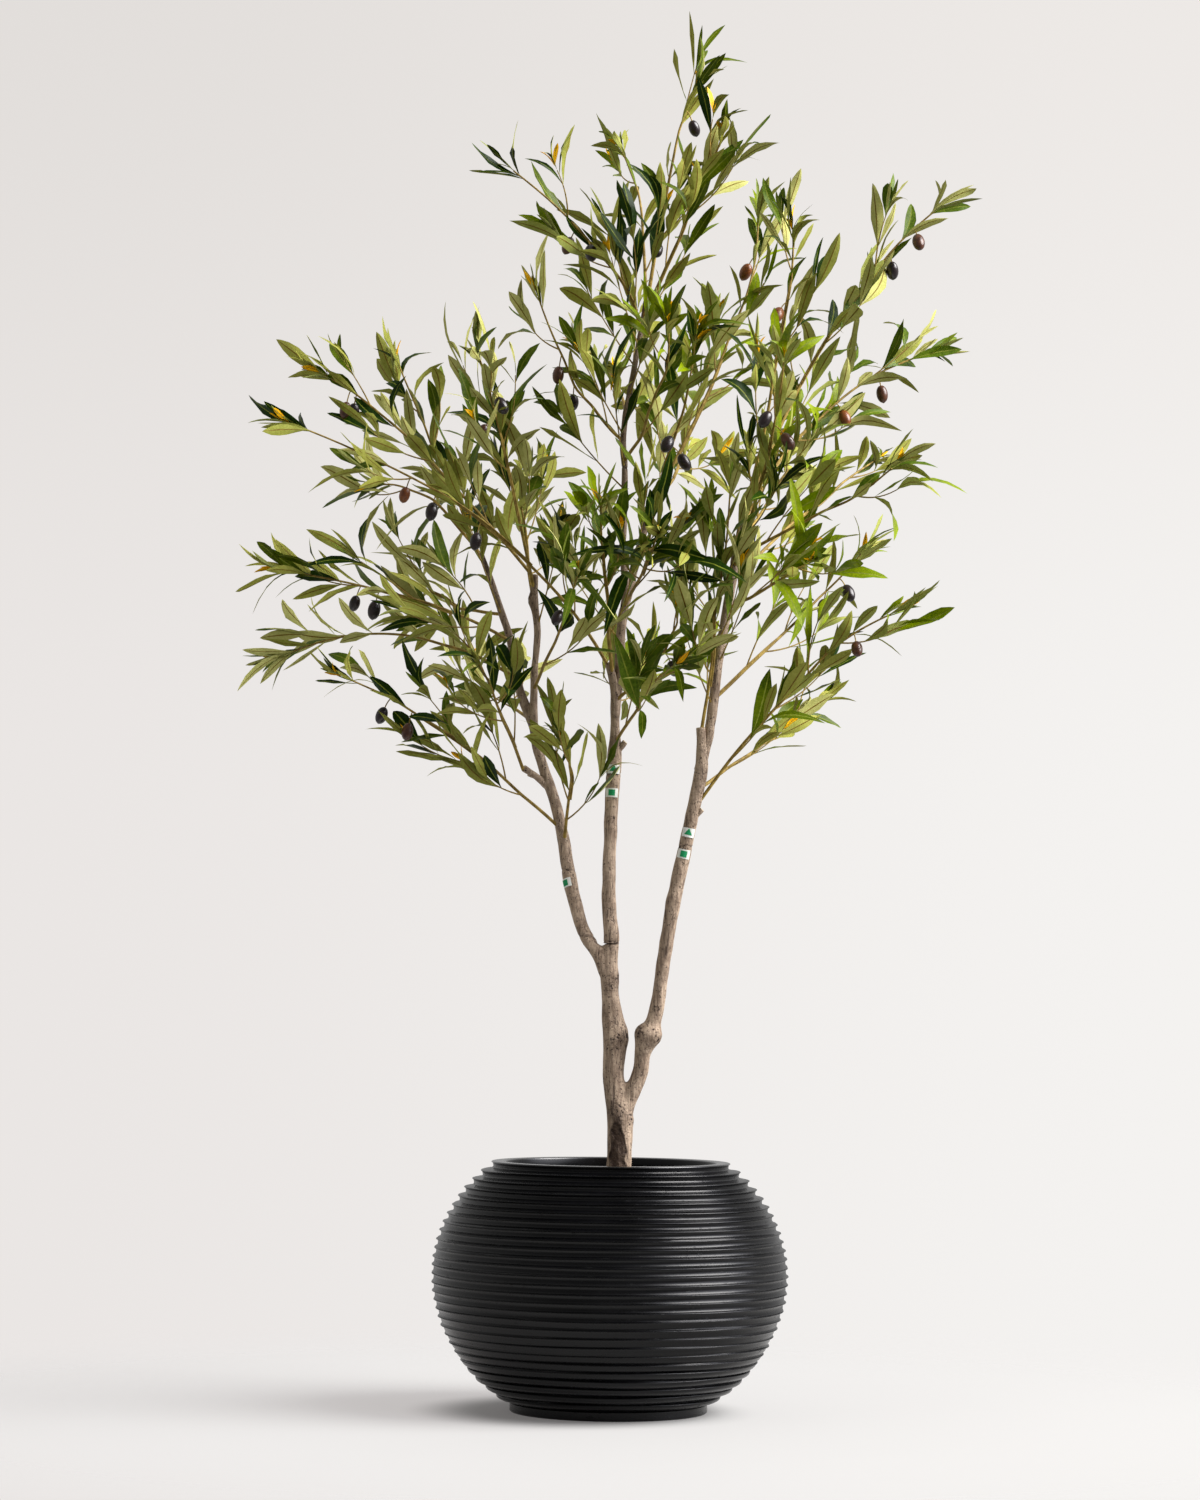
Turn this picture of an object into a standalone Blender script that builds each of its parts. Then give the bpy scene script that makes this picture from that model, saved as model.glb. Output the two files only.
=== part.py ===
"""Artificial olive tree in a ribbed round planter.

Metres, +Z up.  The origin is the centre of the planter's flat underside, and -Y is the front.
The tree is a forked trunk and limbs in plug-together sections, with leafy sprays on their tops
and sides.  Every spray is one closed solid: a three-sided stem, twigs, leaves and olives.
"""
import math
import random

import bmesh
import bpy
from mathutils import Matrix, Vector
from mathutils.bvhtree import BVHTree

UP = Vector((0.0, 0.0, 1.0))

# Gap that keeps touching solids apart
GAP = 0.0003

# Fusing: a dropped scrap has fewer faces than this
SCRAP_FACES = 5

# Planter: an ellipse-like belly turned into flat ribs
PLANTER_HEIGHT = 0.352
BELLY_RADIUS = 0.2535
BELLY_HEIGHT = 0.194
RIM_RADIUS = 0.170
FOOT_RADIUS = 0.140
FOOT_HEIGHT = 0.012
RIB_COUNT = 28
RIB_DEPTH = 0.006
RIB_ROOT = 0.72
RIM_WIDTH = 0.020
WALL = 0.022
BASE_THICKNESS = 0.030
INNER_BEND_HEIGHT = 0.075
PLANTER_STEPS = 24

# Fill that the trunk stands on
FILL_TOP = 0.291
FILL_CROWN = 0.004
FILL_MIDDLE = 0.032

# Limbs: longest step between their rings, and the radii that choose how round they are
RING_SPACING = 0.048
STOUT_RADIUS = 0.010
SLIM_RADIUS = 0.0065
CUT_SHARES = (0.25, 0.75)

# Sprays: stems, twigs, leaves and olives.  A leaf's seat is (share of the wood under it, spread in degrees).
SEED = 100
STEM_RADIUS = 0.0032
STEM_TIP_RADIUS = 0.0019
STEM_STEP = 0.085
TIP_LEAF = 0.088
TWIG_RADIUS = 0.0022
TWIG_TIP_RADIUS = 0.0014
TWIG_SPACING = 0.150
TWIG_FIRST = 0.26
TWIG_LAST = 0.84
TWIG_LONG = 0.080
TWIG_SHORT = 0.045
TWIG_SPREAD = (28, 42)
TWIG_VARIES = (0.85, 1.15)
GOLDEN_ANGLE = math.radians(137.5)
STEM_LEAVES = ((0.98, 8), (0.98, 32), (0.92, 30), (0.74, 32), (0.56, 34))
TWIG_LEAVES = ((0.97, 10), (0.62, 34))
LEAF_LENGTH = 0.092
LEAF_WIDTH = 0.028
LEAF_THICKNESS = 0.0024
LEAF_BELLY = 0.45
LEAF_ARCH = 0.05
LEAF_NECK = 0.006
LEAF_UPWARD = 0.7
LEAF_VARIES = (0.85, 1.12)
SPREAD_VARIES = (0.8, 1.2)
TURN_VARIES = (-0.3, 0.3)
OLIVE_RADIUS = 0.0085
OLIVE_LENGTH = 0.026
STALK_RADIUS = 0.0012
STALK_LENGTH = 0.016
OLIVE_SWING = 0.8
OLIVE_LEAN = 0.3
OLIVE_SINK = 0.004

# Placing: room kept round a twig or leaf, and the turn in radians to its next try
CLEARANCE = 0.0012
TRIES = 5
TWIG_TURN = 0.6
LEAF_TURN = 0.9

# Seating a stem: it starts this far out, beside the middle of a cut top, and its lowest corners are measured
SEAT_REACH = 0.030
SEAT_ASIDE = 0.5
SEAT_CORNERS = 6
SEAT_TRIES = 40
SEAT_MATCH = 0.00005

# Each lead is one run of wood from its root to its cut top.  A station is (x, y, z, radius), and a
# piece is (node, height of its top): pieces that share a node are fused at the fork.
LEADS = {
    "middle": {
        "stations": (
            (0.011, 0.000, 0.2913, 0.0215), (0.011, 0.000, 0.330, 0.0180), (0.012, 0.000, 0.404, 0.0178),
            (0.003, 0.000, 0.470, 0.0148), (0.003, 0.000, 0.528, 0.0168), (-0.004, 0.000, 0.590, 0.0123),
            (-0.006, 0.000, 0.625, 0.0125), (-0.003, 0.000, 0.672, 0.0112), (-0.007, 0.005, 0.724, 0.0100),
            (-0.007, 0.010, 0.790, 0.0092), (-0.004, 0.015, 0.878, 0.0099), (-0.001, 0.020, 0.925, 0.0108),
            (-0.001, 0.020, 0.975, 0.0066), (-0.003, 0.020, 1.030, 0.0062), (-0.011, 0.020, 1.066, 0.0052),
        ),
        "pieces": (("trunk", 0.668), ("middle_limb", 0.905), ("middle_limb_upper", 2.0)),
    },
    "right": {
        "stations": (
            (0.010, 0.000, 0.415, 0.0130), (0.028, -0.002, 0.450, 0.0125), (0.040, -0.005, 0.480, 0.0112),
            (0.044, -0.010, 0.508, 0.0118), (0.052, -0.015, 0.534, 0.0165), (0.058, -0.017, 0.552, 0.0115),
            (0.065, -0.020, 0.588, 0.0099), (0.074, -0.030, 0.656, 0.0096), (0.085, -0.040, 0.724, 0.0105),
            (0.098, -0.045, 0.789, 0.0100), (0.110, -0.050, 0.849, 0.0093), (0.121, -0.055, 0.905, 0.0095),
            (0.122, -0.055, 0.940, 0.0072), (0.120, -0.055, 0.968, 0.0062),
        ),
        "pieces": (("trunk", 0.495), ("right_limb", 0.803), ("right_limb_upper", 2.0)),
    },
    "left": {
        "stations": (
            (-0.004, 0.000, 0.608, 0.0110), (-0.021, 0.000, 0.645, 0.0105), (-0.044, 0.010, 0.683, 0.0093),
            (-0.063, 0.030, 0.751, 0.0098), (-0.076, 0.045, 0.824, 0.0088), (-0.088, 0.055, 0.871, 0.0079),
            (-0.101, 0.060, 0.907, 0.0078), (-0.113, 0.065, 0.944, 0.0068), (-0.121, 0.070, 0.982, 0.0074),
            (-0.141, 0.070, 1.032, 0.0068), (-0.155, 0.070, 1.103, 0.0054), (-0.174, 0.075, 1.160, 0.0050),
            (-0.199, 0.085, 1.231, 0.0038),
        ),
        "pieces": (("trunk", 0.672), ("left_limb", 0.772), ("left_limb_upper", 1.035),
                   ("left_bough_outer", 2.0)),
    },
    "left_inner": {
        "stations": (
            (-0.119, 0.069, 0.975, 0.0058), (-0.119, 0.062, 1.046, 0.0052), (-0.115, 0.056, 1.111, 0.0049),
            (-0.120, 0.050, 1.156, 0.0062), (-0.120, 0.050, 1.195, 0.0048),
        ),
        "pieces": (("left_limb_upper", 1.045), ("left_bough_inner", 2.0)),
    },
    "left_side": {
        "stations": (
            (-0.096, 0.058, 0.888, 0.0052), (-0.113, 0.052, 0.902, 0.0050), (-0.132, 0.045, 0.914, 0.0045),
        ),
        "pieces": (("left_limb_upper", 2.0),),
    },
    "right_bough": {
        "stations": (
            (0.119, -0.053, 0.908, 0.0080), (0.130, -0.049, 0.948, 0.0070), (0.136, -0.045, 0.986, 0.0072),
            (0.147, -0.040, 1.081, 0.0070), (0.161, -0.032, 1.165, 0.0068), (0.169, -0.028, 1.217, 0.0062),
            (0.179, -0.020, 1.272, 0.0052),
        ),
        "pieces": (("right_limb_upper", 0.975), ("right_bough", 2.0)),
    },
    "middle_bough": {
        "stations": (
            (-0.001, 0.020, 0.985, 0.0060), (0.003, 0.027, 1.035, 0.0070), (0.005, 0.030, 1.075, 0.0074),
            (0.007, 0.035, 1.127, 0.0070), (0.018, 0.040, 1.180, 0.0070), (0.039, 0.050, 1.264, 0.0054),
            (0.056, 0.055, 1.322, 0.0046),
        ),
        "pieces": (("middle_limb_upper", 1.050), ("middle_bough", 2.0)),
    },
    "leader": {
        "stations": (
            (0.015, 0.039, 1.165, 0.0055), (0.008, 0.032, 1.225, 0.0052), (0.009, 0.030, 1.336, 0.0048),
            (0.007, 0.030, 1.406, 0.0044), (0.023, 0.030, 1.508, 0.0040), (0.040, 0.030, 1.611, 0.0036),
        ),
        "pieces": (("middle_bough", 1.205), ("leader_bough", 2.0)),
    },
}

# Each spray: the lead it leaves and the height there, the bend of its stem and the tip of its last leaf,
# and its olives as (share of the stem, sideways swing).  A height above the lead's top means its cut top.
SPRAYS = {
    "left_low": ("left", 0.826, (-0.235, -0.010, 0.954), (-0.427, -0.120, 1.055), ((0.72, 0.0), (0.80, 1))),
    "left_hanging": ("left", 0.806, (-0.066, -0.015, 0.890), (-0.079, -0.060, 0.995), ()),
    "left_side_front": ("left_side", 2.0, (-0.170, -0.060, 1.000), (-0.205, -0.200, 1.074), ()),
    "left_reach_low": ("left", 1.045, (-0.307, 0.070, 1.108), (-0.534, 0.050, 1.067), ()),
    "left_reach_high": ("left", 1.100, (-0.286, 0.000, 1.149), (-0.538, -0.050, 1.201),
                        ((0.66, 0.0), (0.74, 1))),
    "left_back_low": ("left", 1.140, (-0.256, 0.140, 1.167), (-0.322, 0.220, 1.269), ()),
    "left_top_mid": ("left", 2.0, (-0.279, 0.120, 1.312), (-0.397, 0.180, 1.359), ()),
    "left_top_back": ("left", 1.190, (-0.270, 0.190, 1.387), (-0.354, 0.280, 1.585), ()),
    "left_far_back": ("left", 0.985, (-0.180, 0.220, 1.040), (-0.230, 0.380, 1.120), ()),
    "left_high_reach": ("middle", 2.0, (-0.186, -0.040, 1.252), (-0.513, -0.100, 1.416),
                        ((0.52, 0), (0.68, 0), (0.73, 1))),
    "left_high_fan": ("left_inner", 2.0, (-0.300, 0.060, 1.388), (-0.478, 0.060, 1.522),
                      ((0.80, 1), (0.86, 0))),
    "left_inner_up": ("left_inner", 1.172, (-0.169, -0.060, 1.384), (-0.210, -0.200, 1.516),
                      ((0.62, 1), (0.74, -1))),
    "left_inner_back": ("left_inner", 1.150, (-0.140, 0.190, 1.290), (-0.150, 0.330, 1.420), ()),
    "left_inner_front": ("left_inner", 1.030, (-0.080, -0.090, 1.112), (-0.046, -0.270, 1.187), ((0.75, 1),)),
    "middle_stub_front": ("middle", 1.045, (-0.020, -0.060, 1.190), (-0.027, -0.200, 1.310), ()),
    "middle_nub_front": ("middle", 0.950, (0.040, -0.080, 1.012), (0.099, -0.250, 1.061), ()),
    "middle_right_low": ("middle", 1.010, (0.067, -0.010, 1.084), (0.103, -0.050, 1.190), ((0.5, -1),)),
    "middle_back_low": ("middle", 0.975, (0.010, 0.170, 1.050), (0.050, 0.330, 1.110), ()),
    "centre_front": ("middle_bough", 1.150, (0.040, -0.110, 1.200), (0.060, -0.300, 1.230), ()),
    "centre_rise": ("middle_bough", 2.0, (0.090, -0.010, 1.430), (0.120, -0.100, 1.560),
                    ((0.4, 1), (0.3, -1))),
    "centre_back": ("middle_bough", 1.290, (0.090, 0.230, 1.380), (0.110, 0.400, 1.460), ()),
    "leader_left": ("leader", 1.390, (-0.062, 0.030, 1.471), (-0.144, 0.040, 1.655),
                    ((0.70, 0), (0.55, 1))),
    "leader_front": ("leader", 1.360, (0.055, -0.110, 1.440), (0.070, -0.280, 1.545), ()),
    "leader_back": ("leader", 1.430, (0.000, 0.200, 1.500), (-0.010, 0.350, 1.560), ()),
    "crown_left": ("leader", 1.550, (-0.030, -0.020, 1.653), (-0.198, -0.100, 1.797),
                   ((0.68, 1), (0.60, -1))),
    "crown_back": ("leader", 1.585, (0.030, 0.110, 1.738), (-0.015, 0.180, 1.895), ()),
    "crown_top": ("leader", 2.0, (0.075, 0.020, 1.804), (0.121, 0.000, 1.958), ((0.20, 1), (0.80, -1))),
    "crown_right": ("leader", 1.570, (0.110, -0.060, 1.730), (0.158, -0.150, 1.849), ()),
    "right_rise_back": ("middle_bough", 1.305, (0.165, 0.110, 1.560), (0.215, 0.140, 1.793), ((0.85, -1),)),
    "right_rise_front": ("right_bough", 1.262, (0.232, -0.090, 1.540), (0.246, -0.130, 1.724), ((0.62, 1),)),
    "right_high_reach": ("right_bough", 2.0, (0.303, 0.010, 1.546), (0.498, 0.020, 1.779),
                         ((0.90, 1), (0.82, -1))),
    "right_reach": ("right_bough", 1.255, (0.292, 0.060, 1.433), (0.496, 0.140, 1.568),
                    ((0.80, 0), (0.60, 1))),
    "right_out_front": ("right_bough", 1.215, (0.290, -0.080, 1.273), (0.427, -0.170, 1.358), ()),
    "right_out_back": ("right_bough", 1.180, (0.300, 0.150, 1.320), (0.423, 0.320, 1.430), ()),
    "right_front": ("right_bough", 1.140, (0.230, -0.180, 1.170), (0.280, -0.320, 1.190), ()),
    "right_top_front": ("right_bough", 1.200, (0.205, -0.165, 1.330), (0.230, -0.320, 1.500),
                        ((0.7, -1), (0.8, 1))),
    "right_top_back": ("right_bough", 1.235, (0.240, 0.180, 1.350), (0.260, 0.380, 1.440), ()),
    "right_mid": ("right_bough", 1.010, (0.262, 0.030, 1.132), (0.386, 0.100, 1.268),
                  ((0.75, -1), (0.85, 1))),
    "right_low": ("right", 0.850, (0.257, -0.080, 1.034), (0.434, -0.110, 1.164), ((0.80, 1),)),
    "right_low_back": ("right", 0.880, (0.230, 0.090, 0.970), (0.338, 0.220, 1.050), ()),
    "right_stub_up": ("right", 2.0, (0.140, -0.090, 1.122), (0.163, -0.140, 1.371), ()),
}

# Finishes: base colour, roughness
BLACK_RESIN = ((0.012, 0.012, 0.011), 0.45)
DARK_FILL = ((0.030, 0.022, 0.016), 0.95)
BARK = ((0.230, 0.180, 0.130), 0.85)
LEAF_GREENS = (((0.060, 0.110, 0.020), 0.5), ((0.110, 0.150, 0.040), 0.5), ((0.180, 0.210, 0.080), 0.5))


def clear_scene():
    """Remove every object of the scene."""
    for thing in list(bpy.data.objects):
        bpy.data.objects.remove(thing, do_unlink=True)


def new_collection(name):
    """A collection of the scene."""
    collection = bpy.data.collections.new(name)
    bpy.context.scene.collection.children.link(collection)
    return collection


def material(name, finish):
    """A Principled material with a finish's colour and roughness."""
    surface = bpy.data.materials.new(name)
    surface.use_nodes = True
    shader = surface.node_tree.nodes["Principled BSDF"]
    shader.inputs["Base Color"].default_value = (*finish[0], 1.0)
    shader.inputs["Roughness"].default_value = finish[1]
    return surface


def mesh_object(name, mesh, collection, surface=None):
    """An object for a mesh, linked to a collection."""
    thing = bpy.data.objects.new(name, mesh)
    collection.objects.link(thing)
    if surface is not None:
        mesh.materials.clear()
        mesh.materials.append(surface)
    return thing


def shade(mesh, angle=35):
    """Smooth shading with sharp edges past an angle in degrees."""
    mesh.shade_smooth()
    mesh.set_sharp_from_angle(angle=math.radians(angle))


def turned(name, profile, steps, collection, surface):
    """A solid turned round the Z axis from a profile of (radius, height) points, with the Screw modifier."""
    mesh = bpy.data.meshes.new(name)
    points = [(radius, 0.0, height) for radius, height in profile]
    mesh.from_pydata(points, [(i, i + 1) for i in range(len(points) - 1)], [])
    thing = mesh_object(name, mesh, collection, surface)
    screw = thing.modifiers.new("Turn", "SCREW")
    screw.steps = steps
    screw.render_steps = steps
    screw.use_merge_vertices = True
    screw.merge_threshold = 0.0001
    return thing


def belly_radius(height):
    """The radius of the lips at a height: half ellipses above and below the widest ring."""
    if height >= BELLY_HEIGHT:
        end_radius, end_height = RIM_RADIUS, PLANTER_HEIGHT
    else:
        end_radius, end_height = FOOT_RADIUS, FOOT_HEIGHT
    reach = (end_height - BELLY_HEIGHT) / math.sqrt(1.0 - (end_radius / BELLY_RADIUS) ** 2)
    return BELLY_RADIUS * math.sqrt(1.0 - ((height - BELLY_HEIGHT) / reach) ** 2)


def inner_radius(height):
    """The radius of the planter's inner wall at a height."""
    return belly_radius(height) - WALL - RIB_DEPTH


def planter_profile():
    """The closed wall: up the inside, over the flat rim, down the ribs and the foot, and in to the axis."""
    inside = [(0.0, BASE_THICKNESS), (FOOT_RADIUS - WALL, BASE_THICKNESS)]
    for height in (INNER_BEND_HEIGHT, BELLY_HEIGHT, FILL_TOP):
        inside.append((inner_radius(height), height))
    mouth = RIM_RADIUS - RIM_WIDTH
    inside += [(mouth, PLANTER_HEIGHT - RIM_WIDTH), (mouth, PLANTER_HEIGHT)]
    pitch = (PLANTER_HEIGHT - FOOT_HEIGHT) / RIB_COUNT
    ribs = []
    for rib in range(RIB_COUNT):
        height = PLANTER_HEIGHT - rib * pitch
        lip, next_lip = belly_radius(height), belly_radius(height - pitch)
        depth = RIB_DEPTH / (1.0 + abs(lip - next_lip) / pitch)
        ribs.append((lip, height))
        ribs.append((min(lip, next_lip) - depth, height - RIB_ROOT * pitch))
    foot = [(FOOT_RADIUS, FOOT_HEIGHT), (FOOT_RADIUS, 0.0), (0.0, 0.0)]
    return inside + ribs + foot


def planter(collection):
    """The ribbed planter."""
    surface = material("black resin", BLACK_RESIN)
    return turned("planter", planter_profile(), PLANTER_STEPS, collection, surface)


def planter_fill(collection):
    """The fill: a slightly crowned body that lies just inside the planter's inner wall."""
    ease = 4 * GAP
    top = [(0.0, FILL_TOP), (FILL_MIDDLE, FILL_TOP), (inner_radius(FILL_TOP) - ease, FILL_TOP - FILL_CROWN)]
    side = [(inner_radius(height) - ease, height) for height in (BELLY_HEIGHT, INNER_BEND_HEIGHT)]
    bottom = [(FOOT_RADIUS - WALL - ease, BASE_THICKNESS + GAP), (0.0, BASE_THICKNESS + GAP)]
    surface = material("dark fill", DARK_FILL)
    return turned("planter_fill", top + side + bottom, PLANTER_STEPS, collection, surface)


def smooth_run(stations, spacing):
    """Rings along a smooth run through stations: Catmull-Rom in the points and the radius."""
    points = [Vector(station) for station in stations]
    padded = [2 * points[0] - points[1]] + points + [2 * points[-1] - points[-2]]
    rings = []
    for a, b, c, d in zip(padded, padded[1:], padded[2:], padded[3:]):
        steps = max(1, round((c.xyz - b.xyz).length / spacing))
        for step in range(steps):
            t = step / steps
            rings.append(0.5 * (2 * b + (c - a) * t + (2 * a - 5 * b + 4 * c - d) * t ** 2
                                + (3 * b - a - 3 * c + d) * t ** 3))
    rings.append(points[-1])
    return rings


def cut_run(rings, pieces):
    """Cut a run at the heights of its pieces, each cut square to the wood with a gap between the faces."""
    parts = []
    rest = list(rings)
    for node, top in pieces:
        index = next((i for i, ring in enumerate(rest) if i > 0 and ring.z > top), None)
        if index is None:
            parts.append((node, rest))
            break
        low, high = rest[index - 1], rest[index]
        share = (top - low.z) / (high.z - low.z)
        middle = low.lerp(high, min(max(share, CUT_SHARES[0]), CUT_SHARES[1]))
        shift = (high - low) * (0.5 * GAP / (high.xyz - low.xyz).length)
        parts.append((node, rest[:index] + [middle - shift]))
        rest = [middle + shift] + rest[index:]
    return parts


def curve_mesh(name, rings, roundness, profile=None):
    """A closed tube through rings of (x, y, z, radius), made as a bevelled curve and turned into a mesh."""
    curve = bpy.data.curves.new(name, "CURVE")
    curve.dimensions = "3D"
    curve.use_fill_caps = True
    if profile is None:
        curve.bevel_depth = 1.0
        curve.bevel_resolution = roundness
    else:
        curve.bevel_mode = "OBJECT"
        curve.bevel_object = profile
    spline = curve.splines.new("POLY")
    spline.points.add(len(rings) - 1)
    for point, ring in zip(spline.points, rings):
        point.co = (ring[0], ring[1], ring[2], 1.0)
        point.radius = ring[3]
    thing = bpy.data.objects.new(name, curve)
    bpy.context.scene.collection.objects.link(thing)
    bpy.context.view_layer.update()
    graph = bpy.context.evaluated_depsgraph_get()
    mesh = bpy.data.meshes.new_from_object(thing.evaluated_get(graph))
    mesh.transform(thing.matrix_world)
    bpy.data.objects.remove(thing, do_unlink=True)
    shell = bmesh.new()
    shell.from_mesh(mesh)
    bmesh.ops.remove_doubles(shell, verts=shell.verts, dist=0.00001)
    bmesh.ops.recalc_face_normals(shell, faces=shell.faces)
    shell.to_mesh(mesh)
    shell.free()
    return mesh


def fused(base, operands):
    """Join the objects of a collection to a base object with one Boolean union, and remove them.

    The exact solver is used, or the manifold solver where its result isn't one closed shell.
    """
    union = base.modifiers.new("Fuse", "BOOLEAN")
    union.operation = "UNION"
    union.operand_type = "COLLECTION"
    union.collection = operands
    for solver in ("EXACT", "MANIFOLD"):
        union.solver = solver
        bpy.context.view_layer.update()
        graph = bpy.context.evaluated_depsgraph_get()
        joined = bpy.data.meshes.new_from_object(base.evaluated_get(graph))
        if keep_main_shell(joined):
            break
    base.modifiers.remove(union)
    base.data = joined
    for thing in list(operands.objects):
        bpy.data.objects.remove(thing, do_unlink=True)
    return joined


def keep_main_shell(mesh):
    """Keep the shell with the most faces, which fills sealed hollows and drops scraps.

    Says whether what was dropped is small and the shell is closed.
    """
    body = bmesh.new()
    body.from_mesh(mesh)
    bmesh.ops.triangulate(body, faces=body.faces)
    left = set(body.faces)
    shells = []
    while left:
        shell = [left.pop()]
        for face in shell:
            beside = {other for edge in face.edges for other in edge.link_faces} & left
            left -= beside
            shell.extend(beside)
        shells.append(shell)
    shells.sort(key=len)
    scraps = [face for shell in shells[:-1] for face in shell]
    bmesh.ops.delete(body, geom=scraps, context="FACES")
    closed = all(len(edge.link_faces) == 2 for edge in body.edges)
    body.to_mesh(mesh)
    body.free()
    return closed and len(scraps) < SCRAP_FACES


def limb_roundness(rings):
    """How many sides a tube takes from its stoutest ring: ten, eight or six."""
    stoutest = max(ring[3] for ring in rings)
    if stoutest > STOUT_RADIUS:
        return 3
    return 2 if stoutest > SLIM_RADIUS else 1


def build_limbs(parts, cutters):
    """Trunk, limbs and boughs: one solid for each node, with the forks fused."""
    pieces = {}
    for lead in LEADS.values():
        for node, rings in cut_run(smooth_run(lead["stations"], RING_SPACING), lead["pieces"]):
            pieces.setdefault(node, []).append(rings)
    surface = material("bark", BARK)
    limbs = {}
    for node, runs in pieces.items():
        base = mesh_object(node, curve_mesh(node, runs[0], limb_roundness(runs[0])), parts)
        for number, rings in enumerate(runs[1:]):
            branch = curve_mesh(f"{node}_fork_{number}", rings, limb_roundness(rings))
            mesh_object(f"{node}_fork_{number}", branch, cutters)
        if len(runs) > 1:
            fused(base, cutters)
        base.data.name = node
        base.data.materials.clear()
        base.data.materials.append(surface)
        shade(base.data)
        limbs[node] = base
    return limbs


class Wood:
    """The limbs as surfaces that a stem is seated on."""

    def __init__(self, limbs):
        self.runs = {name: smooth_run(lead["stations"], RING_SPACING / 4) for name, lead in LEADS.items()}
        self.trees = [tree_of(limb.data) for limb in limbs.values()]
        self.corners = [vertex.co.copy() for limb in limbs.values() for vertex in limb.data.vertices]

    def axis_point(self, lead, height):
        """The middle of a lead at a height, or the middle of its cut top."""
        run = self.runs[lead]
        for low, high in zip(run, run[1:]):
            if low.z <= height <= high.z:
                return low.lerp(high, (height - low.z) / (high.z - low.z))
        return run[-1]

    def distance(self, point):
        """How far a point lies from the nearest wood."""
        return min(tree.find_nearest(point)[3] for tree in self.trees)

    def clearance(self, mesh):
        """The gap between the wood and a stem's foot, or a negative number where they touch."""
        stem = tree_of(mesh)
        if any(stem.overlap(tree) for tree in self.trees):
            return -GAP
        corners = [vertex.co for vertex in mesh.vertices[:SEAT_CORNERS]]
        edges = [[mesh.vertices[i].co for i in edge.vertices] for edge in mesh.edges
                 if max(edge.vertices) < SEAT_CORNERS]
        gaps = [self.distance(point) for point in corners + [(a + b) / 2 for a, b in edges]]
        near = [point for point in self.corners if (point - corners[0]).length < SEAT_REACH]
        gaps.extend(stem.find_nearest(point)[3] for point in near)
        return min(gaps)


def tree_of(mesh):
    """A search tree of a mesh's faces."""
    corners = [vertex.co.copy() for vertex in mesh.vertices]
    return BVHTree.FromPolygons(corners, [tuple(face.vertices) for face in mesh.polygons])


def leaf_mesh(name, root, heading, normal, length, width, thickness):
    """A leaf of eight faces: a flat octahedron from root to tip, arched at its widest place."""
    shell = bmesh.new()
    bmesh.ops.create_uvsphere(shell, u_segments=4, v_segments=2, radius=1.0)
    across = heading.cross(normal).normalized()
    above = across.cross(heading).normalized()
    for vertex in shell.verts:
        x, y, z = vertex.co
        along = (z + 1.0) / 2.0 if abs(z) > 0.5 else LEAF_BELLY
        lift = 0.0 if abs(z) > 0.5 else LEAF_ARCH * length
        vertex.co = (root + heading * along * length + across * (x * width / 2)
                     + above * (y * thickness / 2 + lift))
    bmesh.ops.recalc_face_normals(shell, faces=shell.faces)
    mesh = bpy.data.meshes.new(name)
    shell.to_mesh(mesh)
    shell.free()
    return mesh


def olive_mesh(name, centre, heading):
    """An olive: a twenty-sided ball, longer along its stalk."""
    shell = bmesh.new()
    turn = heading.to_track_quat("Z", "Y").to_matrix().to_4x4()
    size = Matrix.Diagonal((OLIVE_RADIUS, OLIVE_RADIUS, OLIVE_LENGTH / 2, 1.0))
    place = Matrix.Translation(centre) @ turn @ size
    bmesh.ops.create_icosphere(shell, subdivisions=1, radius=1.0, matrix=place)
    mesh = bpy.data.meshes.new(name)
    shell.to_mesh(mesh)
    shell.free()
    return mesh


def rod_mesh(name, start, end, start_radius, end_radius):
    """A straight three-sided rod with closed ends."""
    line = end - start
    turn = line.to_track_quat("Z", "Y").to_matrix().to_4x4()
    shell = bmesh.new()
    bmesh.ops.create_cone(shell, cap_ends=True, segments=3, radius1=start_radius, radius2=end_radius,
                          depth=line.length, matrix=Matrix.Translation((start + end) / 2) @ turn)
    mesh = bpy.data.meshes.new(name)
    shell.to_mesh(mesh)
    shell.free()
    return mesh


class Space:
    """What is already placed, so that no twig or leaf touches another mass or the wood."""

    def __init__(self, trees):
        self.kept = [(tree, "wood", None, 0.0) for tree in trees]

    def add(self, mesh, owner):
        """Keep a mesh and the mass that owns it."""
        middle, reach = mesh_ball(mesh)
        self.kept.append((tree_of(mesh), owner, middle, reach))

    def is_free(self, mesh, but=()):
        """Whether a mesh meets nothing kept, apart from the owners it may meet."""
        middle, reach = mesh_ball(mesh)
        tree = tree_of(mesh)
        for other, owner, centre, radius in self.kept:
            if owner in but:
                continue
            if centre is not None and (centre - middle).length > reach + radius:
                continue
            if tree.overlap(other):
                return False
        return True


def mesh_ball(mesh):
    """A ball round a mesh: its middle and radius."""
    corners = [vertex.co for vertex in mesh.vertices]
    middle = sum(corners, Vector()) / len(corners)
    return middle, max((corner - middle).length for corner in corners)


def bend_through(foot, bend, tip, share):
    """A point of the parabola from foot to tip that passes the bend half way."""
    control = 2 * bend - (foot + tip) / 2
    return foot * (1 - share) ** 2 + control * (2 * share * (1 - share)) + tip * share ** 2


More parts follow.
